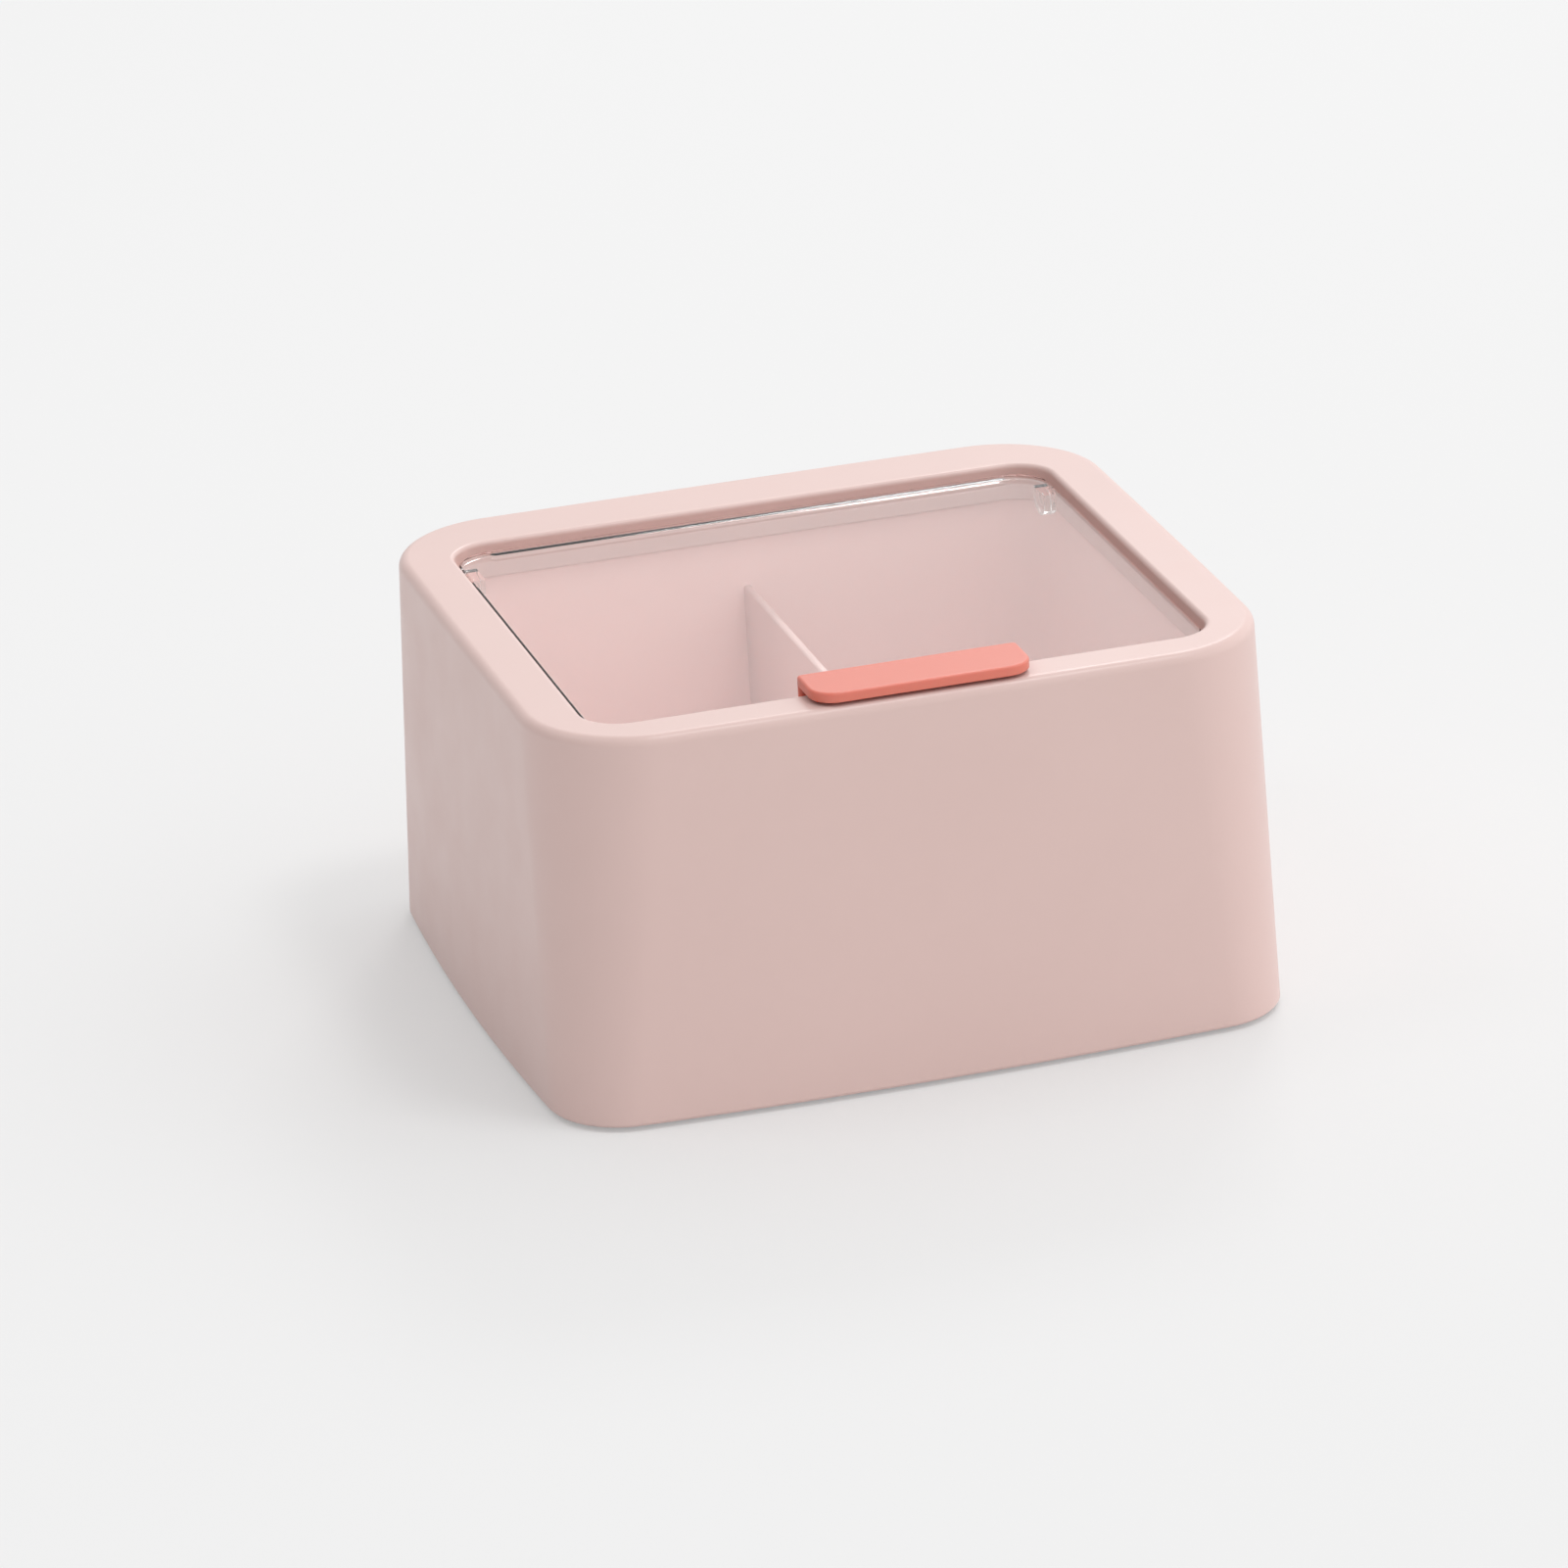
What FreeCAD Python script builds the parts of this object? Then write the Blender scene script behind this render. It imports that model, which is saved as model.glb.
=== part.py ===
import FreeCAD, Part

import math
import os
from collections import namedtuple

# Makeup sponge organizer: a flared box with a rounded rim, a two-compartment
# tray hung inside it and a clear flip lid with a pull tab.
# Millimetres. The origin is the centre of the footprint on the table.
# +X is the width, -Y the front with the tab, +Z up.

# Outer form: the plan grows from the rim down to the base by the flare on every side.
HEIGHT = 70.5
BASE_WIDTH = 135.0
BASE_DEPTH = 121.5
BASE_SIDE_BOW = 2.65
BASE_CORNER_RADIUS = 13.9
FLARE = 2.3
TOP_SIDE_BOW = 0.3
TOP_CORNER_RADIUS = 19.9

# Outer shell
SHELL_WALL = 2.2
RIM_THICKNESS = 2.6
RIM_OUTER_ROUND = 1.8
RIM_INNER_ROUND = 0.8
BOTTOM_EDGE_CHAMFER = 0.5
SHELL_GROUND_GAP = 0.8

# Window in the rim and the lip turned down round it
SIDE_RIM = 9.7
FRONT_RIM = 8.7
REAR_RIM = 13.7
WINDOW_CORNER_RADIUS = 7.3
LIP_WALL = 2.0

# Lid rest pads on the front lip
REST_PAD_SPAN = 60.0
REST_PAD_WIDTH = 10.0
REST_PAD_REACH = 1.6
REST_PAD_THICKNESS = 1.8
REST_PAD_GAP = 0.05

# Clear lid
LID_RECESS = 1.5
LID_THICKNESS = 1.8
LID_SIDE_GAP = 0.6
LID_REAR_GAP = 0.8
LID_EDGE_ROUND = 0.6

# Lid hinge: stub axles on the lid in blind bores of the lip
HINGE_BEFORE_WINDOW_REAR = 10.3
HINGE_BELOW_LID_TOP = 3.0
HINGE_STUB_RADIUS = 1.5
HINGE_RADIAL_CLEARANCE = 0.05
HINGE_END_CLEARANCE = 0.4
HINGE_STUB_CHAMFER = 0.4
HINGE_BORE_DEPTH = 2.7
HINGE_LUG_RADIUS = 3.3
HINGE_LUG_WIDTH = 3.0
HINGE_BOSS_RADIUS = 3.6
HINGE_BOSS_CAP = 0.9

# Pull tab: a plate over the front rim on a leg that stands on the lid
TAB_WIDTH = 39.0
TAB_OFFSET_X = 1.0
TAB_DEPTH = 11.0
TAB_THICKNESS = 1.8
TAB_RIM_GAP = 0.6
TAB_FRONT_CORNER_RADIUS = 4.5
TAB_REAR_CORNER_RADIUS = 0.8
TAB_EDGE_ROUND = 0.45
TAB_LEG_THICKNESS = 1.7
TAB_LEG_EDGE_MARGIN = 1.0
TAB_STAKE_RADIUS = 0.6
TAB_STAKE_CLEARANCE = 0.05
TAB_STAKE_HEAD_RADIUS = 1.1
TAB_STAKE_HEAD_HEIGHT = 0.7
TAB_STAKE_PITCH = 13.0
TAB_STAKE_COUNT = 3

# Inner tray: its mouth is wider than the window and it narrows to the floor
TRAY_LIP_GAP = 0.2
TRAY_WALL = 1.8
TRAY_FLOOR = 1.8
TRAY_SIDE_STEP = 1.1
TRAY_FRONT_STEP = 1.5
TRAY_REAR_STEP = 1.1
TRAY_TOP_CORNER_RADIUS = 8.5
TRAY_SIDE_TAPER = 8.0
TRAY_FRONT_TAPER = 2.6
TRAY_REAR_TAPER = 1.2
TRAY_BOTTOM_CORNER_RADIUS = 9.0
TRAY_FLOOR_ROUND = 2.5
TRAY_FLANGE_WIDTH = 1.7
TRAY_FLANGE_THICKNESS = 1.6

# Divider of the tray
DIVIDER_THICKNESS = 1.4
DIVIDER_TOP_BELOW_RIM = 17.2
DIVIDER_TOP_ROUND = 0.5

# Base plate with the frame and ribs that the tray stands in
BASE_PLATE_THICKNESS = 2.2
BASE_PLATE_CLEARANCE = 0.3
SEAT_FRAME_WALL = 1.6
SEAT_FRAME_HEIGHT = 5.6
SEAT_FRAME_CLEARANCE = 0.3
SEAT_RIB_WIDTH = 1.6
SEAT_RIB_HEIGHT = 3.4
SEAT_RIB_COUNT = 5
SEAT_RIB_PITCH = 22.0

# Screw posts in the corners, screws and feet
POST_INSET = 12.0
POST_RADIUS = 3.2
POST_LENGTH = 14.0
POST_WEB_THICKNESS = 1.8
POST_WEB_REACH = 11.0
PAD_RADIUS = 4.9
PAD_SEAT_THICKNESS = 1.7
SCREW_SHANK_RADIUS = 1.45
SCREW_GRIP_LENGTH = 10.0
SCREW_TIP_LENGTH = 1.6
SCREW_HEAD_RADIUS = 2.9
SCREW_HEAD_HEIGHT = 1.6
SCREW_HEAD_ROUND = 0.6
SCREW_RECESS_WIDTH = 0.8
SCREW_RECESS_SPAN = 3.2
SCREW_RECESS_DEPTH = 0.9
SCREW_BORE_CLEARANCE = 0.05
SCREW_BORE_EXTRA_DEPTH = 1.0
SCREW_HOLE_CLEARANCE = 0.25
SCREW_POCKET_CLEARANCE = 0.3
FOOT_RADIUS = 5.5
FOOT_THICKNESS = 1.6
FOOT_EDGE_ROUND = 0.5
FOOT_RECESS_CLEARANCE = 0.2

# Sizes and places that follow from the sizes above
TOP_WIDTH = BASE_WIDTH - 2 * FLARE
TOP_DEPTH = BASE_DEPTH - 2 * FLARE
RIM_TOP_Z = HEIGHT
LID_TOP_Z = RIM_TOP_Z - LID_RECESS
LID_UNDERSIDE_Z = LID_TOP_Z - LID_THICKNESS
HINGE_Z = LID_TOP_Z - HINGE_BELOW_LID_TOP
LIP_BOTTOM_Z = HINGE_Z - HINGE_BOSS_RADIUS
TAB_UNDERSIDE_Z = RIM_TOP_Z + TAB_RIM_GAP
TRAY_TOP_Z = LIP_BOTTOM_Z - TRAY_LIP_GAP
DIVIDER_TOP_Z = RIM_TOP_Z - DIVIDER_TOP_BELOW_RIM
BASE_PLATE_TOP_Z = SHELL_GROUND_GAP + BASE_PLATE_THICKNESS
TRAY_UNDERSIDE_Z = BASE_PLATE_TOP_Z + SEAT_RIB_HEIGHT
TRAY_FLOOR_Z = TRAY_UNDERSIDE_Z + TRAY_FLOOR
SCREW_SEAT_Z = FOOT_THICKNESS + SCREW_HEAD_HEIGHT + SCREW_POCKET_CLEARANCE
PAD_TOP_Z = SCREW_SEAT_Z + PAD_SEAT_THICKNESS
WINDOW_WIDTH = TOP_WIDTH - 2 * SIDE_RIM
WINDOW_FRONT_Y = FRONT_RIM - TOP_DEPTH / 2
WINDOW_REAR_Y = TOP_DEPTH / 2 - REAR_RIM
HINGE_Y = WINDOW_REAR_Y - HINGE_BEFORE_WINDOW_REAR
TAB_REAR_Y = WINDOW_FRONT_Y + LID_SIDE_GAP + TAB_LEG_EDGE_MARGIN + TAB_LEG_THICKNESS
POST_X = BASE_WIDTH / 2 - POST_INSET
POST_Y = BASE_DEPTH / 2 - POST_INSET

# Cutters run past the faces they open by this much.
OVERSHOOT = 1.0

Vector = FreeCAD.Vector
Bowed = namedtuple("Bowed", "half_width half_depth side_radius end_radius corner_radius")
Rounded = namedtuple("Rounded", "width front_y rear_y corner_radius")


def bow_radius(half_chord, bow):
    """Radius of the arc that rises by the bow over the chord."""
    return (half_chord ** 2 + bow ** 2) / (2 * bow)


def bowed(width, depth, bow, corner_radius):
    """Plan with four bowed sides and tangent corner arcs."""
    half_width = width / 2
    half_depth = depth / 2
    return Bowed(
        half_width,
        half_depth,
        bow_radius(half_depth, bow),
        bow_radius(half_width, bow),
        corner_radius,
    )


def inset(plan, wall):
    """The same bowed plan moved inwards by the wall."""
    return Bowed(*[value - wall for value in plan])


def body_plan(z, wall=0.0):
    """Plan of the flared body at a height, moved inwards by the wall."""
    share = (z - SHELL_GROUND_GAP) / (RIM_TOP_Z - SHELL_GROUND_GAP)
    base = bowed(BASE_WIDTH, BASE_DEPTH, BASE_SIDE_BOW, BASE_CORNER_RADIUS)
    top = bowed(TOP_WIDTH, TOP_DEPTH, TOP_SIDE_BOW, TOP_CORNER_RADIUS)

    def bend(low, high):
        return 1 / (1 / low + share * (1 / high - 1 / low))

    plan = Bowed(
        base.half_width + share * (top.half_width - base.half_width),
        base.half_depth + share * (top.half_depth - base.half_depth),
        bend(base.side_radius, top.side_radius),
        bend(base.end_radius, top.end_radius),
        base.corner_radius + share * (top.corner_radius - base.corner_radius),
    )
    return inset(plan, wall)


def bowed_wire(plan, z):
    """Closed wire of a bowed plan: four side arcs and four corner arcs."""
    side_centre = plan.half_width - plan.side_radius
    end_centre = plan.half_depth - plan.end_radius
    side_reach = plan.side_radius - plan.corner_radius
    end_reach = plan.end_radius - plan.corner_radius
    x = plan.half_width - plan.corner_radius
    y = plan.half_depth - plan.corner_radius
    for _ in range(40):
        x = side_centre + math.sqrt(side_reach ** 2 - y ** 2)
        y = end_centre + math.sqrt(end_reach ** 2 - x ** 2)
    centre = Vector(x, y, z)
    to_side = (centre - Vector(side_centre, 0, z)).normalize()
    to_end = (centre - Vector(0, end_centre, z)).normalize()
    side_point = centre + to_side * plan.corner_radius
    end_point = centre + to_end * plan.corner_radius
    corner_point = centre + (to_side + to_end).normalize() * plan.corner_radius

    def at(point, sign_x, sign_y):
        return Vector(point.x * sign_x, point.y * sign_y, z)

    side_middle = Vector(plan.half_width, 0, z)
    end_middle = Vector(0, plan.half_depth, z)
    points = [
        (at(side_point, 1, -1), side_middle, at(side_point, 1, 1)),
        (at(side_point, 1, 1), corner_point, at(end_point, 1, 1)),
        (at(end_point, 1, 1), end_middle, at(end_point, -1, 1)),
        (at(end_point, -1, 1), at(corner_point, -1, 1), at(side_point, -1, 1)),
        (at(side_point, -1, 1), at(side_middle, -1, 1), at(side_point, -1, -1)),
        (at(side_point, -1, -1), at(corner_point, -1, -1), at(end_point, -1, -1)),
        (at(end_point, -1, -1), at(end_middle, 1, -1), at(end_point, 1, -1)),
        (at(end_point, 1, -1), at(corner_point, 1, -1), at(side_point, 1, -1)),
    ]
    return Part.Wire([Part.Arc(*three).toShape() for three in points])


def loft(lower, upper):
    """Ruled solid between two wires."""
    return Part.makeLoft([lower, upper], True, True)


def body_solid(low_z, high_z, wall=0.0):
    """Solid of the flared body between two heights."""
    return loft(
        bowed_wire(body_plan(low_z, wall), low_z),
        bowed_wire(body_plan(high_z, wall), high_z),
    )


def grown(plan, wall):
    """A rounded rectangle moved outwards by the wall."""
    return Rounded(
        plan.width + 2 * wall,
        plan.front_y - wall,
        plan.rear_y + wall,
        plan.corner_radius + wall,
    )


def rounded_wire(plan, z):
    """Closed wire of a rectangle with rounded corners."""
    half = plan.width / 2
    radius = plan.corner_radius
    diagonal = radius * (1 - math.sqrt(0.5))
    front = plan.front_y
    rear = plan.rear_y
    edges = []
    for sign in (1, -1):
        near = front if sign > 0 else rear
        far = rear if sign > 0 else front
        x = half * sign
        step = radius * sign
        cut = diagonal * sign
        side_start = Vector(x, near + step, z)
        side_end = Vector(x, far - step, z)
        end_start = Vector(x - step, far, z)
        end_end = Vector(-x + step, far, z)
        edges.append(Part.LineSegment(side_start, side_end).toShape())
        edges.append(Part.Arc(side_end, Vector(x - cut, far - cut, z), end_start).toShape())
        edges.append(Part.LineSegment(end_start, end_end).toShape())
        next_side = Vector(-x, far - step, z)
        edges.append(Part.Arc(end_end, Vector(-x + cut, far - cut, z), next_side).toShape())
    return Part.Wire(edges)


def rounded_prism(plan, low_z, high_z):
    """Upright prism on a rounded rectangle."""
    face = Part.Face(rounded_wire(plan, low_z))
    return face.extrude(Vector(0, 0, high_z - low_z))


def box(low, high):
    """Box between two corners."""
    return Part.makeBox(high[0] - low[0], high[1] - low[1], high[2] - low[2], Vector(*low))


def upright(radius, low_z, high_z, x, y):
    """Upright cylinder."""
    return Part.makeCylinder(radius, high_z - low_z, Vector(x, y, low_z))


def across(radius, start_x, end_x, y, z):
    """Cylinder along X between two stations, in either order."""
    direction = Vector(math.copysign(1, end_x - start_x), 0, 0)
    return Part.makeCylinder(radius, abs(end_x - start_x), Vector(start_x, y, z), direction)


def edges_at(shape, z, tolerance=0.001):
    """Edges that lie in a level plane."""
    return [
        edge
        for edge in shape.Edges
        if abs(edge.BoundBox.ZMin - z) < tolerance and abs(edge.BoundBox.ZMax - z) < tolerance
    ]


def inside_plan(edge, half_width, half_depth):
    """Whether an edge stays within a central rectangle."""
    bounds = edge.BoundBox
    return max(-bounds.XMin, bounds.XMax) < half_width and max(-bounds.YMin, bounds.YMax) < half_depth


def corners():
    """Centres of the four screw posts with their names."""
    return [
        ("front_left", -POST_X, -POST_Y),
        ("front_right", POST_X, -POST_Y),
        ("rear_left", -POST_X, POST_Y),
        ("rear_right", POST_X, POST_Y),
    ]


WINDOW = Rounded(WINDOW_WIDTH, WINDOW_FRONT_Y, WINDOW_REAR_Y, WINDOW_CORNER_RADIUS)
LID = Rounded(
    WINDOW_WIDTH - 2 * LID_SIDE_GAP,
    WINDOW_FRONT_Y + LID_SIDE_GAP,
    WINDOW_REAR_Y - LID_REAR_GAP,
    WINDOW_CORNER_RADIUS - LID_SIDE_GAP,
)
TRAY_TOP = Rounded(
    WINDOW_WIDTH + 2 * TRAY_SIDE_STEP,
    WINDOW_FRONT_Y - TRAY_FRONT_STEP,
    WINDOW_REAR_Y + TRAY_REAR_STEP,
    TRAY_TOP_CORNER_RADIUS,
)
TRAY_BOTTOM = Rounded(
    TRAY_TOP.width - 2 * TRAY_SIDE_TAPER,
    TRAY_TOP.front_y + TRAY_FRONT_TAPER,
    TRAY_TOP.rear_y - TRAY_REAR_TAPER,
    TRAY_BOTTOM_CORNER_RADIUS,
)


def tray_plan(z):
    """Inside plan of the tray at a height."""
    share = (z - TRAY_FLOOR_Z) / (TRAY_TOP_Z - TRAY_FLOOR_Z)
    return Rounded(*[low + share * (high - low) for low, high in zip(TRAY_BOTTOM, TRAY_TOP)])


def screw_post(x, y):
    """Post for a screw with a web into the corner of the shell."""
    post = upright(POST_RADIUS, PAD_TOP_Z, PAD_TOP_Z + POST_LENGTH, x, y)
    web = Part.makeBox(
        POST_WEB_REACH, POST_WEB_THICKNESS, POST_LENGTH, Vector(0, -POST_WEB_THICKNESS / 2, 0)
    )
    web.rotate(Vector(0, 0, 0), Vector(0, 0, 1), math.degrees(math.atan2(y, x)))
    web.translate(Vector(x, y, PAD_TOP_Z))
    return post.fuse(web)


def outer_shell():
    """Flared shell with the rim, the window, its lip, hinge bosses and screw posts."""
    chamfer_z = SHELL_GROUND_GAP + BOTTOM_EDGE_CHAMFER
    outside = body_solid(chamfer_z, RIM_TOP_Z)
    outside = outside.makeFillet(RIM_OUTER_ROUND, edges_at(outside, RIM_TOP_Z))
    bottom_edge = loft(
        bowed_wire(body_plan(SHELL_GROUND_GAP, BOTTOM_EDGE_CHAMFER), SHELL_GROUND_GAP),
        bowed_wire(body_plan(chamfer_z), chamfer_z),
    )
    outside = outside.fuse(bottom_edge)
    cavity = body_solid(SHELL_GROUND_GAP - OVERSHOOT, RIM_TOP_Z - RIM_THICKNESS, SHELL_WALL)
    opening = rounded_prism(WINDOW, LIP_BOTTOM_Z - OVERSHOOT, RIM_TOP_Z + OVERSHOOT)
    lip = rounded_prism(grown(WINDOW, LIP_WALL), LIP_BOTTOM_Z, RIM_TOP_Z - RIM_THICKNESS / 2)
    shell = outside.cut(cavity).fuse(lip)
    boss_start = WINDOW_WIDTH / 2 + LIP_WALL / 2
    boss_end = WINDOW_WIDTH / 2 + HINGE_BORE_DEPTH + HINGE_BOSS_CAP
    for side in (-1, 1):
        shell = shell.fuse(
            across(HINGE_BOSS_RADIUS, side * boss_start, side * boss_end, HINGE_Y, HINGE_Z)
        )
    inner_body = body_solid(SHELL_GROUND_GAP, RIM_TOP_Z - RIM_THICKNESS, SHELL_WALL / 2)
    for _, x, y in corners():
        shell = shell.fuse(screw_post(x, y).common(inner_body))
    shell = shell.cut(opening)
    bore_radius = HINGE_STUB_RADIUS + HINGE_RADIAL_CLEARANCE
    for side in (-1, 1):
        start = WINDOW_WIDTH / 2 - OVERSHOOT
        end = WINDOW_WIDTH / 2 + HINGE_BORE_DEPTH
        shell = shell.cut(across(bore_radius, side * start, side * end, HINGE_Y, HINGE_Z))
    bore_top = PAD_TOP_Z + SCREW_GRIP_LENGTH + SCREW_BORE_EXTRA_DEPTH
    for _, x, y in corners():
        bore = upright(
            SCREW_SHANK_RADIUS + SCREW_BORE_CLEARANCE, PAD_TOP_Z - OVERSHOOT, bore_top, x, y
        )
        shell = shell.cut(bore)
    half_width = WINDOW_WIDTH / 2 + OVERSHOOT
    half_depth = -WINDOW_FRONT_Y + OVERSHOOT
    rim_edges = [
        edge for edge in edges_at(shell, RIM_TOP_Z) if inside_plan(edge, half_width, half_depth)
    ]
    shell = shell.makeFillet(RIM_INNER_ROUND, rim_edges)
    pad_top = LID_UNDERSIDE_Z - REST_PAD_GAP
    for side in (-1, 1):
        middle = side * REST_PAD_SPAN / 2
        shell = shell.fuse(
            box(
                (middle - REST_PAD_WIDTH / 2, WINDOW_FRONT_Y - LIP_WALL / 2, pad_top - REST_PAD_THICKNESS),
                (middle + REST_PAD_WIDTH / 2, WINDOW_FRONT_Y + REST_PAD_REACH, pad_top),
            )
        )
    return shell.removeSplitter()


def inner_tray():
    """Tapered tray with a flange and a low divider between its two compartments."""
    outside = loft(
        rounded_wire(grown(tray_plan(TRAY_UNDERSIDE_Z), TRAY_WALL), TRAY_UNDERSIDE_Z),
        rounded_wire(grown(TRAY_TOP, TRAY_WALL), TRAY_TOP_Z),
    )
    flange = rounded_prism(
        grown(TRAY_TOP, TRAY_WALL + TRAY_FLANGE_WIDTH), TRAY_TOP_Z - TRAY_FLANGE_THICKNESS, TRAY_TOP_Z
    )
    open_top = TRAY_TOP_Z + OVERSHOOT
    hollow = loft(
        rounded_wire(TRAY_BOTTOM, TRAY_FLOOR_Z), rounded_wire(tray_plan(open_top), open_top)
    )
    half = DIVIDER_THICKNESS / 2
    reach = TRAY_TOP.width
    divider = box((-half, -reach, TRAY_FLOOR_Z - OVERSHOOT), (half, reach, DIVIDER_TOP_Z))
    hollow = hollow.cut(divider)
    hollow = hollow.makeFillet(TRAY_FLOOR_ROUND, edges_at(hollow, TRAY_FLOOR_Z))
    crest = [
        edge
        for edge in edges_at(hollow, DIVIDER_TOP_Z)
        if edge.BoundBox.YLength > edge.BoundBox.XLength and edge.BoundBox.XMax < DIVIDER_THICKNESS
    ]
    hollow = hollow.makeFillet(DIVIDER_TOP_ROUND, crest)
    return outside.fuse(flange).cut(hollow).removeSplitter()


def clear_lid():
    """Clear pane with the hinge lugs and stub axles under its rear corners."""
    lid = rounded_prism(LID, LID_UNDERSIDE_Z, LID_TOP_Z)
    lid = lid.makeFillet(LID_EDGE_ROUND, edges_at(lid, LID_TOP_Z))
    below_pane = box(
        (-WINDOW_WIDTH, WINDOW_FRONT_Y, LIP_BOTTOM_Z - OVERSHOOT),
        (WINDOW_WIDTH, WINDOW_REAR_Y, LID_UNDERSIDE_Z + LID_THICKNESS / 2),
    )
    half = LID.width / 2
    for side in (-1, 1):
        lug = across(
            HINGE_LUG_RADIUS, side * (half - HINGE_LUG_WIDTH), side * half, HINGE_Y, HINGE_Z
        )
        stub_end = WINDOW_WIDTH / 2 + HINGE_BORE_DEPTH - HINGE_END_CLEARANCE
        stub = across(
            HINGE_STUB_RADIUS, side * (half - HINGE_LUG_WIDTH / 2), side * stub_end, HINGE_Y, HINGE_Z
        )
        tip = [
            edge
            for edge in stub.Edges
            if edge.BoundBox.XLength < OVERSHOOT / 2 and abs(edge.BoundBox.Center.x) > half
        ]
        stub = stub.makeChamfer(HINGE_STUB_CHAMFER, tip)
        lid = lid.fuse(lug.common(below_pane)).fuse(stub)
    for x in stake_stations():
        hole = upright(
            TAB_STAKE_RADIUS + TAB_STAKE_CLEARANCE,
            LID_UNDERSIDE_Z - OVERSHOOT,
            LID_TOP_Z + OVERSHOOT,
            x,
            TAB_REAR_Y - TAB_LEG_THICKNESS / 2,
        )
        lid = lid.cut(hole)
    return lid.removeSplitter()


def stake_stations():
    """X positions of the stakes under the tab's leg."""
    middle = (TAB_STAKE_COUNT - 1) / 2
    return [TAB_OFFSET_X + (index - middle) * TAB_STAKE_PITCH for index in range(TAB_STAKE_COUNT)]


def pull_tab():
    """Tab plate with rounded front corners on a leg with three staked pegs."""
    top_z = TAB_UNDERSIDE_Z + TAB_THICKNESS
    front_y = TAB_REAR_Y - TAB_DEPTH
    left = TAB_OFFSET_X - TAB_WIDTH / 2
    right = TAB_OFFSET_X + TAB_WIDTH / 2
    plate = box((left, front_y, TAB_UNDERSIDE_Z), (right, TAB_REAR_Y, top_z))
    front = [
        edge
        for edge in plate.Edges
        if edge.BoundBox.ZLength > TAB_THICKNESS / 2 and edge.BoundBox.YMax < front_y + OVERSHOOT
    ]
    plate = plate.makeFillet(TAB_FRONT_CORNER_RADIUS, front)
    leg = box(
        (left, TAB_REAR_Y - TAB_LEG_THICKNESS, LID_TOP_Z), (right, TAB_REAR_Y, TAB_UNDERSIDE_Z)
    )
    tab = plate.fuse(leg).removeSplitter()
    rear = [
        edge
        for edge in tab.Edges
        if edge.BoundBox.ZLength > TAB_THICKNESS and edge.BoundBox.YMin > TAB_REAR_Y - OVERSHOOT
    ]
    tab = tab.makeFillet(TAB_REAR_CORNER_RADIUS, rear)
    tab = tab.makeFillet(TAB_EDGE_ROUND, edges_at(tab, top_z))
    stake_y = TAB_REAR_Y - TAB_LEG_THICKNESS / 2
    head_z = LID_UNDERSIDE_Z - TAB_STAKE_HEAD_HEIGHT
    for x in stake_stations():
        stake = upright(TAB_STAKE_RADIUS, head_z, LID_TOP_Z + TAB_RIM_GAP, x, stake_y)
        head = upright(TAB_STAKE_HEAD_RADIUS, head_z, LID_UNDERSIDE_Z, x, stake_y)
        tab = tab.fuse(stake).fuse(head)
    return tab.removeSplitter()


def base_plate():
    """Plate that closes the shell, with the frame and ribs the tray stands in."""
    plan_wall = SHELL_WALL + BASE_PLATE_CLEARANCE
    plate = body_solid(SHELL_GROUND_GAP, BASE_PLATE_TOP_Z, plan_wall)
    frame_top = BASE_PLATE_TOP_Z + SEAT_FRAME_HEIGHT
    frame_inside = grown(tray_plan(frame_top), TRAY_WALL + SEAT_FRAME_CLEARANCE)
    frame_outside = grown(frame_inside, SEAT_FRAME_WALL)
    frame = rounded_prism(frame_outside, BASE_PLATE_TOP_Z, frame_top).cut(
        rounded_prism(frame_inside, BASE_PLATE_TOP_Z - OVERSHOOT, frame_top + OVERSHOOT)
    )
    plate = plate.fuse(frame)
    half = frame_inside.width / 2 + SEAT_FRAME_WALL / 2
    middle = (SEAT_RIB_COUNT - 1) / 2
    centre_y = (frame_inside.front_y + frame_inside.rear_y) / 2
    for index in range(SEAT_RIB_COUNT):
        y = centre_y + (index - middle) * SEAT_RIB_PITCH
        rib = box(
            (-half, y - SEAT_RIB_WIDTH / 2, BASE_PLATE_TOP_Z - OVERSHOOT),
            (half, y + SEAT_RIB_WIDTH / 2, TRAY_UNDERSIDE_Z),
        )
        plate = plate.fuse(rib)
    for _, x, y in corners():
        plate = plate.fuse(upright(PAD_RADIUS, SHELL_GROUND_GAP, PAD_TOP_Z, x, y))
    for _, x, y in corners():
        recess = upright(
            FOOT_RADIUS + FOOT_RECESS_CLEARANCE, SHELL_GROUND_GAP - OVERSHOOT, FOOT_THICKNESS, x, y
        )
        pocket = upright(
            SCREW_HEAD_RADIUS + SCREW_POCKET_CLEARANCE, SHELL_GROUND_GAP, SCREW_SEAT_Z, x, y
        )
        hole = upright(
            SCREW_SHANK_RADIUS + SCREW_HOLE_CLEARANCE, SHELL_GROUND_GAP, PAD_TOP_Z + OVERSHOOT, x, y
        )
        plate = plate.cut(recess).cut(pocket).cut(hole)
    return plate.removeSplitter()


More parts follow.
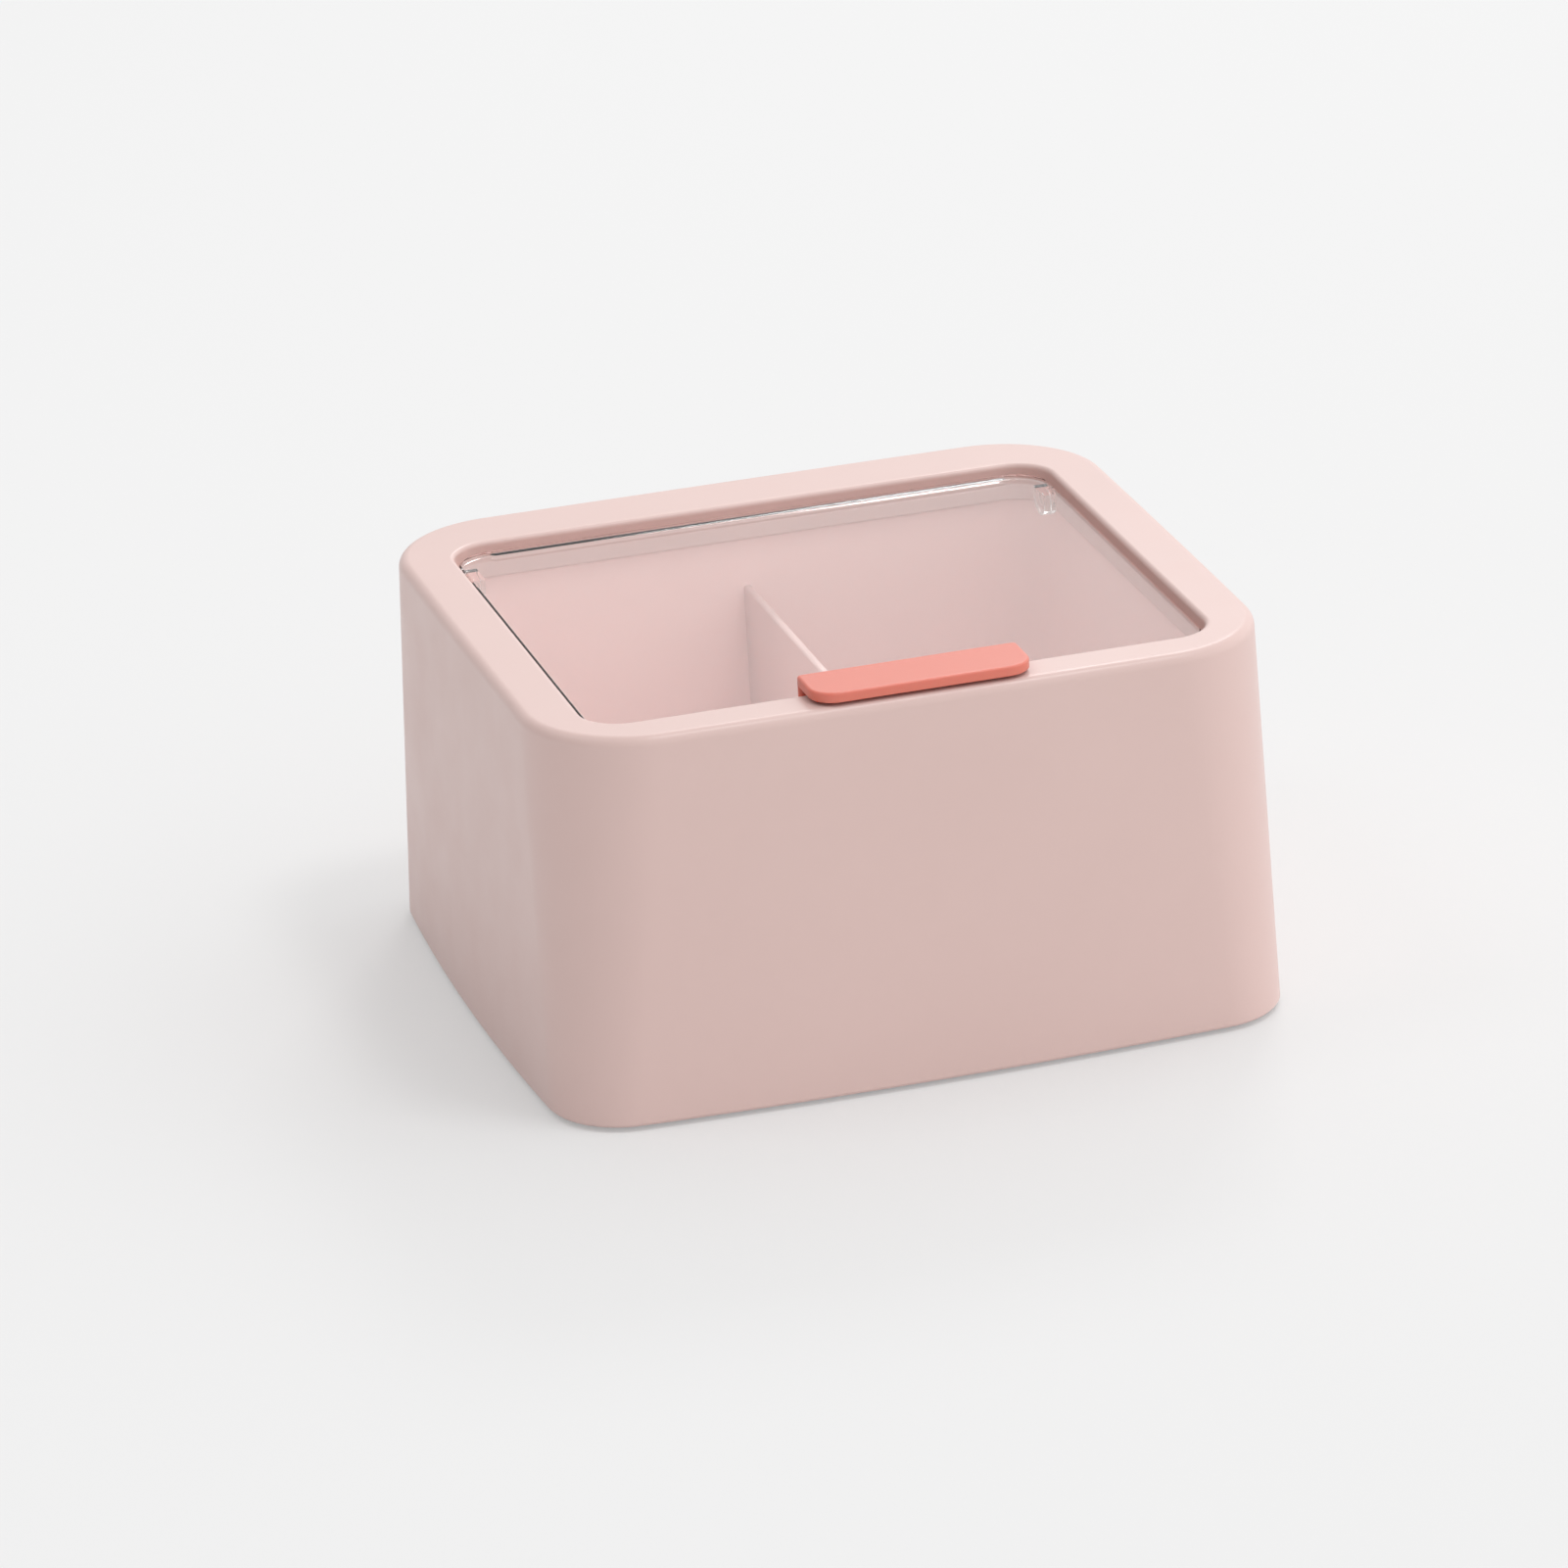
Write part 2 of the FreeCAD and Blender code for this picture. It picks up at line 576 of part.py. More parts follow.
def base_screw(x, y):
    """Pan head screw from below with a cross recess and a tapered tip."""
    head_low = SCREW_SEAT_Z - SCREW_HEAD_HEIGHT
    head = upright(SCREW_HEAD_RADIUS, head_low, SCREW_SEAT_Z, x, y)
    head = head.makeFillet(SCREW_HEAD_ROUND, edges_at(head, head_low))
    shank_top = PAD_TOP_Z + SCREW_GRIP_LENGTH - SCREW_TIP_LENGTH
    shank = upright(SCREW_SHANK_RADIUS, SCREW_SEAT_Z, shank_top, x, y)
    tip = Part.makeCone(
        SCREW_SHANK_RADIUS, SCREW_SHANK_RADIUS / 2, SCREW_TIP_LENGTH, Vector(x, y, shank_top)
    )
    screw = head.fuse(shank).fuse(tip)
    half_span = SCREW_RECESS_SPAN / 2
    half_width = SCREW_RECESS_WIDTH / 2
    recess_top = head_low + SCREW_RECESS_DEPTH
    low = head_low - OVERSHOOT
    screw = screw.cut(
        box((x - half_span, y - half_width, low), (x + half_span, y + half_width, recess_top))
    )
    return screw.cut(
        box((x - half_width, y - half_span, low), (x + half_width, y + half_span, recess_top))
    ).removeSplitter()


def foot(x, y):
    """Round foot in its recess under a corner."""
    disc = upright(FOOT_RADIUS, 0, FOOT_THICKNESS, x, y)
    return disc.makeFillet(FOOT_EDGE_ROUND, edges_at(disc, 0))


def export(node, shape):
    """Write one piece."""
    shape.exportStep(os.path.join("parts", node + ".step"))


os.makedirs("parts", exist_ok=True)
export("outer_shell", outer_shell())
export("inner_tray", inner_tray())
export("clear_lid", clear_lid())
export("pull_tab", pull_tab())
export("base_plate", base_plate())
export("base_screws", Part.makeCompound([base_screw(x, y) for _, x, y in corners()]))
for place, x, y in corners():
    export("foot_" + place, foot(x, y))
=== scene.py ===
"""Makeup sponge organizer: a flared box, a two-compartment tray and a clear flip lid.

Metres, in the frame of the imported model: the origin is the centre of the footprint on
the table, +X is the width, -Y the front with the pull tab and +Z up.
"""

import logging
import math
from collections.abc import Iterable, Mapping, Sequence
from dataclasses import dataclass, field
from enum import Enum
from typing import Any, NamedTuple

import bmesh
import bpy
from bpy.types import Material, Mesh, Node, NodeSocket, NodeTree, Object
from mathutils import Matrix, Vector


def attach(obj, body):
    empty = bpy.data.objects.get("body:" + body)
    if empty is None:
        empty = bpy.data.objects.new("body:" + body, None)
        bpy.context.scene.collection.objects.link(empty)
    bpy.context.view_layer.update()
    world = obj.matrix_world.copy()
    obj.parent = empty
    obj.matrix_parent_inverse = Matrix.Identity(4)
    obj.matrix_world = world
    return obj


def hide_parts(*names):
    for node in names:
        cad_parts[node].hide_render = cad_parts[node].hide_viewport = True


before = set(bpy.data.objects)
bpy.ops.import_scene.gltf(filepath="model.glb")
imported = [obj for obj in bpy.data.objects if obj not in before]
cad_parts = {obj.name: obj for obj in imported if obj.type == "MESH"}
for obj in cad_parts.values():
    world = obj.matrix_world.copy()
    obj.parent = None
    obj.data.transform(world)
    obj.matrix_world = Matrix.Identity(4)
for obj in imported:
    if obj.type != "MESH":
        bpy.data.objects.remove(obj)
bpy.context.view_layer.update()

LOG = logging.getLogger("organizer")
MM = 0.001
MERGE_DISTANCE = 0.002 * MM
SMOOTH_BELOW = math.radians(32)
# The bead on the pane has a shallow foot that has to stay a crease.
PANE_SMOOTH_BELOW = math.radians(13)
# A cap that was drawn in to the middle has a hub with more spokes than this.
CAP_SPOKES = 16
# Nearly all of a noise texture lies between these values.
NOISE_LOW, NOISE_HIGH = 0.3, 0.7

MATH = "ShaderNodeMath"
VECTOR_MATH = "ShaderNodeVectorMath"
COMBINE = "ShaderNodeCombineXYZ"
MIX = "ShaderNodeMix"
NOISE = "ShaderNodeTexNoise"


class Body(Enum):
    """The two bodies that the pieces ride on."""

    BOX = "box"
    LID = "lid"


class Slot(Enum):
    """The record's material slots."""

    SHELL = "shell_plastic"
    TRAY = "tray_plastic"
    CLEAR = "clear_plastic"
    TAB = "tab_plastic"
    STEEL = "screw_steel"
    RUBBER = "foot_rubber"


def linear(colour: str) -> tuple[float, float, float, float]:
    """Turns an sRGB hex colour into linear RGBA.

    Args:
        colour: The colour as #RRGGBB.

    Returns:
        Linear red, green and blue with full alpha.
    """
    values = [int(colour[start : start + 2], 16) / 255 for start in (1, 3, 5)]
    red, green, blue = (v / 12.92 if v <= 0.04045 else ((v + 0.055) / 1.055) ** 2.4 for v in values)
    return red, green, blue, 1.0


def add(
    tree: NodeTree,
    kind: str,
    inputs: Mapping[Any, Any] | Sequence[Any] = (),
    **settings: Any,
) -> Node:
    """Adds a node with its settings and links.

    Args:
        tree: The tree that gets the node.
        kind: The node's type.
        inputs: What goes into its sockets, by name or in order. A node gives its
            first output, a socket is linked, and anything else is set as a value.
        **settings: The node's own properties.

    Returns:
        The new node.
    """
    node = tree.nodes.new(kind)
    for name, value in settings.items():
        setattr(node, name, value)
    pairs = inputs.items() if isinstance(inputs, Mapping) else enumerate(inputs)
    for key, value in pairs:
        if isinstance(value, Node):
            value = value.outputs[0]
        if isinstance(value, NodeSocket):
            tree.links.new(value, node.inputs[key])
        else:
            node.inputs[key].default_value = value
    return node


def new_tree(name: str, inputs: Mapping[str, str], outputs: Mapping[str, str]) -> tuple[NodeTree, Node]:
    """Starts a Geometry Nodes tree with named inputs and outputs.

    Args:
        name: The tree's name.
        inputs: Socket type of each named input.
        outputs: Socket type of each named output.

    Returns:
        The tree and its input node.
    """
    tree = bpy.data.node_groups.new(name, "GeometryNodeTree")
    for direction, sockets in (("INPUT", inputs), ("OUTPUT", outputs)):
        for socket, kind in sockets.items():
            tree.interface.new_socket(socket, in_out=direction, socket_type="NodeSocket" + kind)
    return tree, tree.nodes.new("NodeGroupInput")


def in_scene(name: str, data: Any) -> Object:
    """Puts an object into the scene.

    Args:
        name: The object's name.
        data: Its mesh, lamp or camera.

    Returns:
        The new object.
    """
    made = bpy.data.objects.new(name, data)
    bpy.context.scene.collection.objects.link(made)
    return made


def grow(name: str, carrier: Mesh, tree: NodeTree, values: Mapping[str, Any]) -> Mesh:
    """Runs a Geometry Nodes tree on a carrier mesh.

    Args:
        name: The new mesh's name.
        carrier: The mesh that the tree starts from.
        tree: The tree.
        values: The tree's input values by name.

    Returns:
        The plain mesh that the tree makes, with its faces turned outwards.
    """
    worker = in_scene(name, carrier)
    modifier = worker.modifiers.new(tree.name, "NODES")
    modifier.node_group = tree
    for item in tree.interface.items_tree:
        if item.in_out == "INPUT" and item.name in values:
            modifier[item.identifier] = values[item.name]
    depsgraph = bpy.context.evaluated_depsgraph_get()
    mesh = bpy.data.meshes.new_from_object(worker.evaluated_get(depsgraph), depsgraph=depsgraph)
    bpy.data.objects.remove(worker)
    mesh.name = name
    # The tree leaves an empty slot in front of its material.
    mesh.materials.clear()
    mesh.materials.append(values["Material"])
    mesh.polygons.foreach_set("material_index", [0] * len(mesh.polygons))
    turn_outwards(mesh)
    return mesh


def turn_outwards(mesh: Mesh) -> None:
    """Makes all faces of a closed mesh point outwards, and a flat cap one face.

    Args:
        mesh: The mesh, which is changed.
    """
    shape = bmesh.new()
    shape.from_mesh(mesh)
    hubs = [vertex for vertex in shape.verts if len(vertex.link_edges) > CAP_SPOKES]
    bmesh.ops.dissolve_verts(shape, verts=hubs)
    bmesh.ops.recalc_face_normals(shape, faces=shape.faces)
    shape.to_mesh(mesh)
    shape.free()


class Ring(NamedTuple):
    """One level line of a swept section.

    The line lies at a height, moved inwards from a plan. The plan is a mix: high turns
    the low plan into the high one, and window turns that into the window's. Centre draws
    the line in to the middle.
    """

    height: float
    inset: float = 0.0
    high: float = 0.0
    window: float = 0.0
    centre: float = 0.0


class Corner(NamedTuple):
    """A corner of a section before it is rounded."""

    inset: float
    height: float
    radius: float = 0.0


@dataclass(frozen=True)
class Plan:
    """A level outline with four bowed sides and round corners."""

    width: float
    depth: float
    corner: float
    bow: float = 0.0
    centre_y: float = 0.0

    @classmethod
    def between(cls, front: float, rear: float, width: float, corner: float) -> "Plan":
        """A straight-sided plan from its front to its rear."""
        return cls(width, rear - front, corner, 0.0, (front + rear) / 2)

    @classmethod
    def circle(cls, radius: float) -> "Plan":
        """A round plan."""
        return cls(2 * radius, 2 * radius, radius)

    @property
    def front(self) -> float:
        """The y of the front side."""
        return self.centre_y - self.depth / 2

    @property
    def rear(self) -> float:
        """The y of the rear side."""
        return self.centre_y + self.depth / 2

    def values(self, which: str) -> dict[str, float]:
        """The plan's sizes by the names of the sweep tree's inputs.

        Args:
            which: The plan's name in the tree.

        Returns:
            The sizes by name.
        """
        return {
            f"{which} width": self.width,
            f"{which} depth": self.depth,
            f"{which} corner radius": self.corner,
            f"{which} side bow": self.bow,
            f"{which} centre Y": self.centre_y,
        }


def rounded(corners: Sequence[Corner], steps: int = 6) -> list[tuple[float, float]]:
    """Rounds the corners of an open section.

    Args:
        corners: The section. Its first and last point only give a direction.
        steps: Segments in a quarter turn.

    Returns:
        Inset and height of each point between the first and the last corner. Each arc
        has a further point on both sides, so that flat faces stay flat when shaded.
    """
    support_share = 0.2
    points: list[tuple[float, float]] = []
    for before, here, after in zip(corners, corners[1:], corners[2:]):
        middle = Vector(here[:2])
        start = (Vector(before[:2]) - middle).normalized()
        end = (Vector(after[:2]) - middle).normalized()
        if here.radius <= 0:
            points.append(tuple(middle))
            continue
        opening = start.angle(end)
        reach = here.radius / math.tan(opening / 2)
        centre = middle + (start + end).normalized() * here.radius / math.sin(opening / 2)
        turn = math.pi - opening
        count = max(2, round(steps * turn / (math.pi / 2)))
        first = middle + start * reach - centre
        last = middle + end * reach - centre
        support = reach + support_share * here.radius
        points.append(tuple(middle + start * support))
        for index in range(count + 1):
            share = index / count
            blend = first * math.sin((1 - share) * turn) + last * math.sin(share * turn)
            points.append(tuple(centre + blend / math.sin(turn)))
        points.append(tuple(middle + end * support))
    return points


def capped(section: Sequence[tuple[float, float]]) -> list[Ring]:
    """Turns a section into rings and closes both of its ends.

    Args:
        section: Inset and height of each point.

    Returns:
        The rings, with one in the middle before the first and one after the last.
    """
    rings = [Ring(height, inset) for inset, height in section]
    return [Ring(rings[0].height, centre=1.0), *rings, Ring(rings[-1].height, centre=1.0)]


def both_ways(*steps: tuple[Any, ...]) -> list[Sequence[Any]]:
    """Gives steps for x, and again with x and y exchanged.

    Args:
        *steps: The steps for x.

    Returns:
        The steps for x and then those for y.
    """
    swap = str.maketrans("xy", "yx")
    turned = [[t.translate(swap) if isinstance(t, str) else t for t in step] for step in steps]
    return [*steps, *turned]


# The working of a quarter of a plan, a step to a line: its name, its operation and its
# terms. A term is a number, a size of the plan or the name's latest step.
SIDE_STEPS = (
    ("half_x", "MULTIPLY", "Width", 0.5),
    ("half_y", "MULTIPLY", "Depth", 0.5),
    ("twice_bow", "MULTIPLY", "Side bow", 2.0),
    ("bow_squared", "MULTIPLY", "Side bow", "Side bow"),
    *both_ways(
        ("bend_x", "MULTIPLY_ADD", "half_y", "half_y", "bow_squared"),
        ("bend_x", "DIVIDE", "twice_bow", "bend_x"),
        ("inner_x", "SUBTRACT", "half_x", "Corner radius"),
        ("drop_x", "MULTIPLY", "bend_x", "Corner radius"),
        ("drop_x", "SUBTRACT", 1.0, "drop_x"),
        ("drop_x", "DIVIDE", "bend_x", "drop_x"),
        ("drop_x", "MULTIPLY", "drop_x", -0.5),
    ),
    ("centre_y", "ADD", "inner_y", 0.0),
)
# The bows move the centre of the corner arc, which these steps find in a few rounds.
CENTRE_STEPS = both_ways(
    ("centre_x", "MULTIPLY", "centre_y", "centre_y"),
    ("centre_x", "MULTIPLY_ADD", "centre_x", "drop_x", "inner_x"),
)
CENTRE_ROUNDS = 3
PLACE_STEPS = (
    # The angle by which each side has turned where its corner arc starts.
    *both_ways(
        ("short_x", "SUBTRACT", "half_x", "centre_x"),
        ("short_x", "MULTIPLY", "bend_x", "short_x"),
        ("short_x", "SUBTRACT", 1.0, "short_x"),
        ("lean_x", "MULTIPLY", "bend_x", "centre_y"),
        ("lean_x", "DIVIDE", "lean_x", "short_x"),
        ("lean_x", "ARCTANGENT", "lean_x"),
    ),
    ("turn", "SUBTRACT", math.pi / 2, "lean_y"),
    ("turn", "SUBTRACT", "turn", "lean_x"),
    # How far the station is along the side, the corner and the end of its quarter.
    ("quarter", "MULTIPLY", "Station", 4.0),
    ("quarter", "PINGPONG", "quarter", 1.0),
    ("on_side", "MULTIPLY", "quarter", 4.0),
    ("on_side", "MINIMUM", "on_side", 1.0),
    ("on_corner", "MULTIPLY_ADD", "quarter", 2.0, -0.5),
    ("on_corner", "MAXIMUM", "on_corner", 0.0),
    ("on_corner", "MINIMUM", "on_corner", 1.0),
    ("on_end", "MULTIPLY_ADD", "quarter", 4.0, -3.0),
    ("on_end", "MAXIMUM", "on_end", 0.0),
    ("before_side", "SUBTRACT", 1.0, "on_side"),
    ("before_end", "SUBTRACT", 1.0, "on_end"),
    # How far each bow stands out past its tangent point.
    *both_ways(
        ("tangent_x", "SINE", "lean_y"),
        ("tangent_x", "MULTIPLY_ADD", "tangent_x", "Corner radius", "centre_x"),
    ),
    ("part_x", "MULTIPLY", "on_side", "on_side"),
    ("part_y", "MULTIPLY", "before_end", "before_end"),
    *both_ways(
        ("part_x", "SUBTRACT", 1.0, "part_x"),
        ("rise_x", "MULTIPLY", "tangent_y", "tangent_y"),
        ("rise_x", "MULTIPLY", "rise_x", "bend_x"),
        ("rise_x", "MULTIPLY", "rise_x", "part_x"),
    ),
    # The place in the quarter.
    ("angle", "MULTIPLY_ADD", "turn", "on_corner", "lean_x"),
    ("x", "COSINE", "angle"),
    ("y", "SINE", "angle"),
    ("back_x", "MULTIPLY", "tangent_x", "on_end"),
    ("back_y", "MULTIPLY", "tangent_y", "before_side"),
    *both_ways(
        ("x", "MULTIPLY_ADD", "x", "Corner radius", "centre_x"),
        ("x", "MULTIPLY_ADD", "rise_x", 0.5, "x"),
        ("x", "SUBTRACT", "x", "back_x"),
    ),
    # The outward direction in the quarter.
    ("facing", "MULTIPLY", "lean_x", "on_side"),
    ("facing", "MULTIPLY_ADD", "turn", "on_corner", "facing"),
    ("facing", "MULTIPLY_ADD", "lean_y", "on_end", "facing"),
    ("outward_x", "COSINE", "facing"),
    ("outward_y", "SINE", "facing"),
    # The signs of the quarter that the station is in.
    ("full_turn", "MULTIPLY", "Station", 2 * math.pi),
    ("sign_x", "COSINE", "full_turn"),
    ("sign_y", "SINE", "full_turn"),
    *both_ways(
        ("sign_x", "SIGN", "sign_x"),
        ("outward_x", "MULTIPLY", "outward_x", "sign_x"),
    ),
    ("x", "MULTIPLY", "x", "sign_x"),
    ("y", "MULTIPLY_ADD", "y", "sign_y", "Centre Y"),
)


def plan_tree() -> NodeTree:
    """Builds the group that finds a station on a bowed, round-cornered plan.

    A quarter of the plan is half a side, a corner arc that is tangent to both its
    neighbours, and half an end.

    Returns:
        The group, with the station from 0 to 1 and the plan's sizes as inputs.
    """
    names = ("Station", "Width", "Depth", "Corner radius", "Side bow", "Centre Y")
    outputs = {"Place": "Vector", "Outward": "Vector"}
    tree, given = new_tree("Rounded plan", {name: "Float" for name in names}, outputs)
    found: dict[Any, Any] = {name: given.outputs[name] for name in names}
    for name, operation, *terms in (*SIDE_STEPS, *CENTRE_STEPS * CENTRE_ROUNDS, *PLACE_STEPS):
        found[name] = add(tree, MATH, [found.get(term, term) for term in terms], operation=operation)
    place = add(tree, COMBINE, (found["x"], found["y"], 0.0))
    outward = add(tree, COMBINE, (found["outward_x"], found["outward_y"], 0.0))
    add(tree, "NodeGroupOutput", (place, outward))
    return tree


PLANS = ("Low", "High", "Window")


def sweep_tree(plan: NodeTree) -> NodeTree:
    """Builds the tree that sweeps a section round its plans.

    The carrier mesh has one point for each ring, with the ring's values as attributes.
    A grid of rings by columns is laid on the plans and closed along its seams.

    Args:
        plan: The group that finds a station on a plan.

    Returns:
        The tree, with the sizes of the three plans as named inputs.
    """
    names = {which: list(Plan(0, 0, 0).values(which)) for which in PLANS}
    sizes = {"Section": "Geometry", "Columns": "Int", "Material": "Material"}
    sizes |= {name: "Float" for which in PLANS for name in names[which]}
    tree, given = new_tree("Swept section", sizes, {"Geometry": "Geometry"})
    get = given.outputs
    rings = add(tree, "GeometryNodeAttributeDomainSize", {"Geometry": get["Section"]})
    stations = add(tree, MATH, (get["Columns"], 1.0), operation="ADD")
    grid = add(tree, "GeometryNodeMeshGrid", {"Vertices X": rings, "Vertices Y": stations})
    index = tree.nodes.new("GeometryNodeInputIndex")
    # Half a step keeps the division on the right side of a whole number.
    ring = add(tree, MATH, (index, 0.5), operation="ADD")
    ring = add(tree, MATH, (ring, stations), operation="DIVIDE")
    ring = add(tree, MATH, (ring,), operation="FLOOR")
    column = add(tree, MATH, (index, stations), operation="MODULO")
    station = add(tree, MATH, (column, get["Columns"]), operation="DIVIDE")

    value = {}
    for name in Ring._fields:
        attribute = add(tree, "GeometryNodeInputNamedAttribute", {"Name": name}, data_type="FLOAT")
        wanted = {"Geometry": get["Section"], "Value": attribute, "Index": ring}
        value[name] = add(tree, "GeometryNodeSampleIndex", wanted, data_type="FLOAT")

    low, high, window = (
        add(tree, "GeometryNodeGroup", node_tree=plan).outputs for _ in PLANS
    )
    for which, found in zip(PLANS, (low, high, window)):
        sockets = found["Place"].node.inputs
        for socket, source in zip(sockets, (station.outputs[0], *(get[name] for name in names[which]))):
            tree.links.new(source, socket)
    mixed = {}
    for name in ("Place", "Outward"):
        wall = {0: value["high"], 4: low[name], 5: high[name]}
        wall = add(tree, MIX, wall, data_type="VECTOR").outputs[1]
        mixed[name] = {0: value["window"], 4: wall, 5: window[name]}
        mixed[name] = add(tree, MIX, mixed[name], data_type="VECTOR").outputs[1]
    inwards = {0: mixed["Outward"], "Scale": value["inset"]}
    inwards = add(tree, VECTOR_MATH, inwards, operation="SCALE")
    place = add(tree, VECTOR_MATH, (mixed["Place"], inwards), operation="SUBTRACT")
    middle = add(tree, COMBINE, (0.0, get["Low centre Y"], 0.0))
    place = add(tree, MIX, {0: value["centre"], 4: place, 5: middle}, data_type="VECTOR")
    parts = add(tree, "ShaderNodeSeparateXYZ", (place.outputs[1],))
    place = add(tree, COMBINE, (parts.outputs["X"], parts.outputs["Y"], value["height"]))

    shape = add(tree, "GeometryNodeSetPosition", {"Geometry": grid, "Position": place})
    shape = add(tree, "GeometryNodeMergeByDistance", {"Geometry": shape, "Distance": MERGE_DISTANCE})
    finish_tree(tree, shape, get["Material"])
    return tree


def finish_tree(tree: NodeTree, shape: Node, material: NodeSocket) -> None:
    """Ends a tree: instances made real, smooth shading with sharp edges, material set.

    Args:
        tree: The tree.
        shape: The node that gives the shape.
        material: The socket that gives the material.
    """
    shape = add(tree, "GeometryNodeRealizeInstances", {"Geometry": shape})
    angle = tree.nodes.new("GeometryNodeInputMeshEdgeAngle")
    limit = (angle, SMOOTH_BELOW)
    soft = add(tree, "FunctionNodeCompare", limit, data_type="FLOAT", operation="LESS_THAN")
    shape = add(tree, "GeometryNodeSetShadeSmooth", {"Geometry": shape}, domain="FACE")
    smooth = {"Geometry": shape, "Shade Smooth": soft}
    shape = add(tree, "GeometryNodeSetShadeSmooth", smooth, domain="EDGE")
    shape = add(tree, "GeometryNodeSetMaterial", {"Geometry": shape, "Material": material})
    add(tree, "NodeGroupOutput", (shape,))


def copies_tree() -> NodeTree:
    """Builds the tree that puts a copy of an object at each point of the carrier.

    Returns:
        The tree, with the object to copy and its material as named inputs.
    """
    sockets = {"Places": "Geometry", "Original": "Object", "Material": "Material"}
    tree, given = new_tree("Copies at places", sockets, {"Geometry": "Geometry"})
    get = given.outputs
    original = add(tree, "GeometryNodeObjectInfo", {"Object": get["Original"]}).outputs["Geometry"]
    copies = {"Points": get["Places"], "Instance": original}
    finish_tree(tree, add(tree, "GeometryNodeInstanceOnPoints", copies), get["Material"])
    return tree


def joined(name: str, meshes: Sequence[Mesh]) -> Mesh:
    """Puts meshes with the same material into one.

    Args:
        name: The new mesh's name.
        meshes: The meshes.

    Returns:
        The new mesh.
    """
    shape = bmesh.new()
    for mesh in meshes:
        shape.from_mesh(mesh)
    result = bpy.data.meshes.new(name)
    shape.to_mesh(result)
    shape.free()
    result.materials.append(meshes[0].materials[0])
    return result


def fused(name: str, base: Mesh, others: Sequence[Mesh]) -> Mesh:
    """Unites closed meshes into one clear body without inner faces.

    Args:
        name: The new mesh's name.
        base: The main mesh, whose material stays.
        others: What is moulded onto it.

    Returns:
        The united mesh.
    """
    worker, *tools = (in_scene(mesh.name, mesh) for mesh in (base, *others))
    for tool in tools:
        modifier = worker.modifiers.new(tool.name, "BOOLEAN")
        modifier.operation = "UNION"
        modifier.solver = "EXACT"
        modifier.object = tool
    depsgraph = bpy.context.evaluated_depsgraph_get()
    mesh = bpy.data.meshes.new_from_object(worker.evaluated_get(depsgraph), depsgraph=depsgraph)
    for item in (worker, *tools):
        bpy.data.objects.remove(item)
    mesh.name = name
    mesh.set_sharp_from_angle(angle=PANE_SMOOTH_BELOW)
    return mesh


def soft_block(name: str, middle: Vector, size: Vector, edge: float, material: Material) -> Mesh:
    """Makes a block with rounded edges.

    Args:
        name: The mesh's name.
        middle: Its centre.
        size: Its full sizes.
        edge: The radius of its edges.
        material: Its finish.

    Returns:
        The mesh.
    """
    shape = bmesh.new()
    place = Matrix.Translation(middle) @ Matrix.Diagonal((*size, 1.0))
    bmesh.ops.create_cube(shape, size=1.0, matrix=place)
    bmesh.ops.bevel(
        shape, geom=shape.edges[:], offset=edge, segments=3, profile=0.5, affect="EDGES", clamp_overlap=True
    )
    for face in shape.faces:
        face.smooth = True
    mesh = bpy.data.meshes.new(name)
    shape.to_mesh(mesh)
    shape.free()
    mesh.materials.append(material)
    return mesh


def piece(name: str, mesh: Mesh, body: Body, nodes: Sequence[str]) -> Object:
    """Puts a finished mesh into the scene in place of CAD nodes.

    Args:
        name: The piece's name.
        mesh: Its mesh, already in place.
        body: The body that it rides on.
        nodes: The CAD nodes that it stands for.

    Returns:
        The new object.
    """
    made = in_scene(name, mesh)
    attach(made, body.value)
    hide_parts(*nodes)
    return made


def blank_material(name: str) -> tuple[Material, NodeTree]:
    """Makes a material with an empty tree.

    Args:
        name: The material's name.

    Returns:
        The material and its tree.
    """
    made = bpy.data.materials.new(name)
    made.use_nodes = True
    made.node_tree.nodes.clear()
    return made, made.node_tree


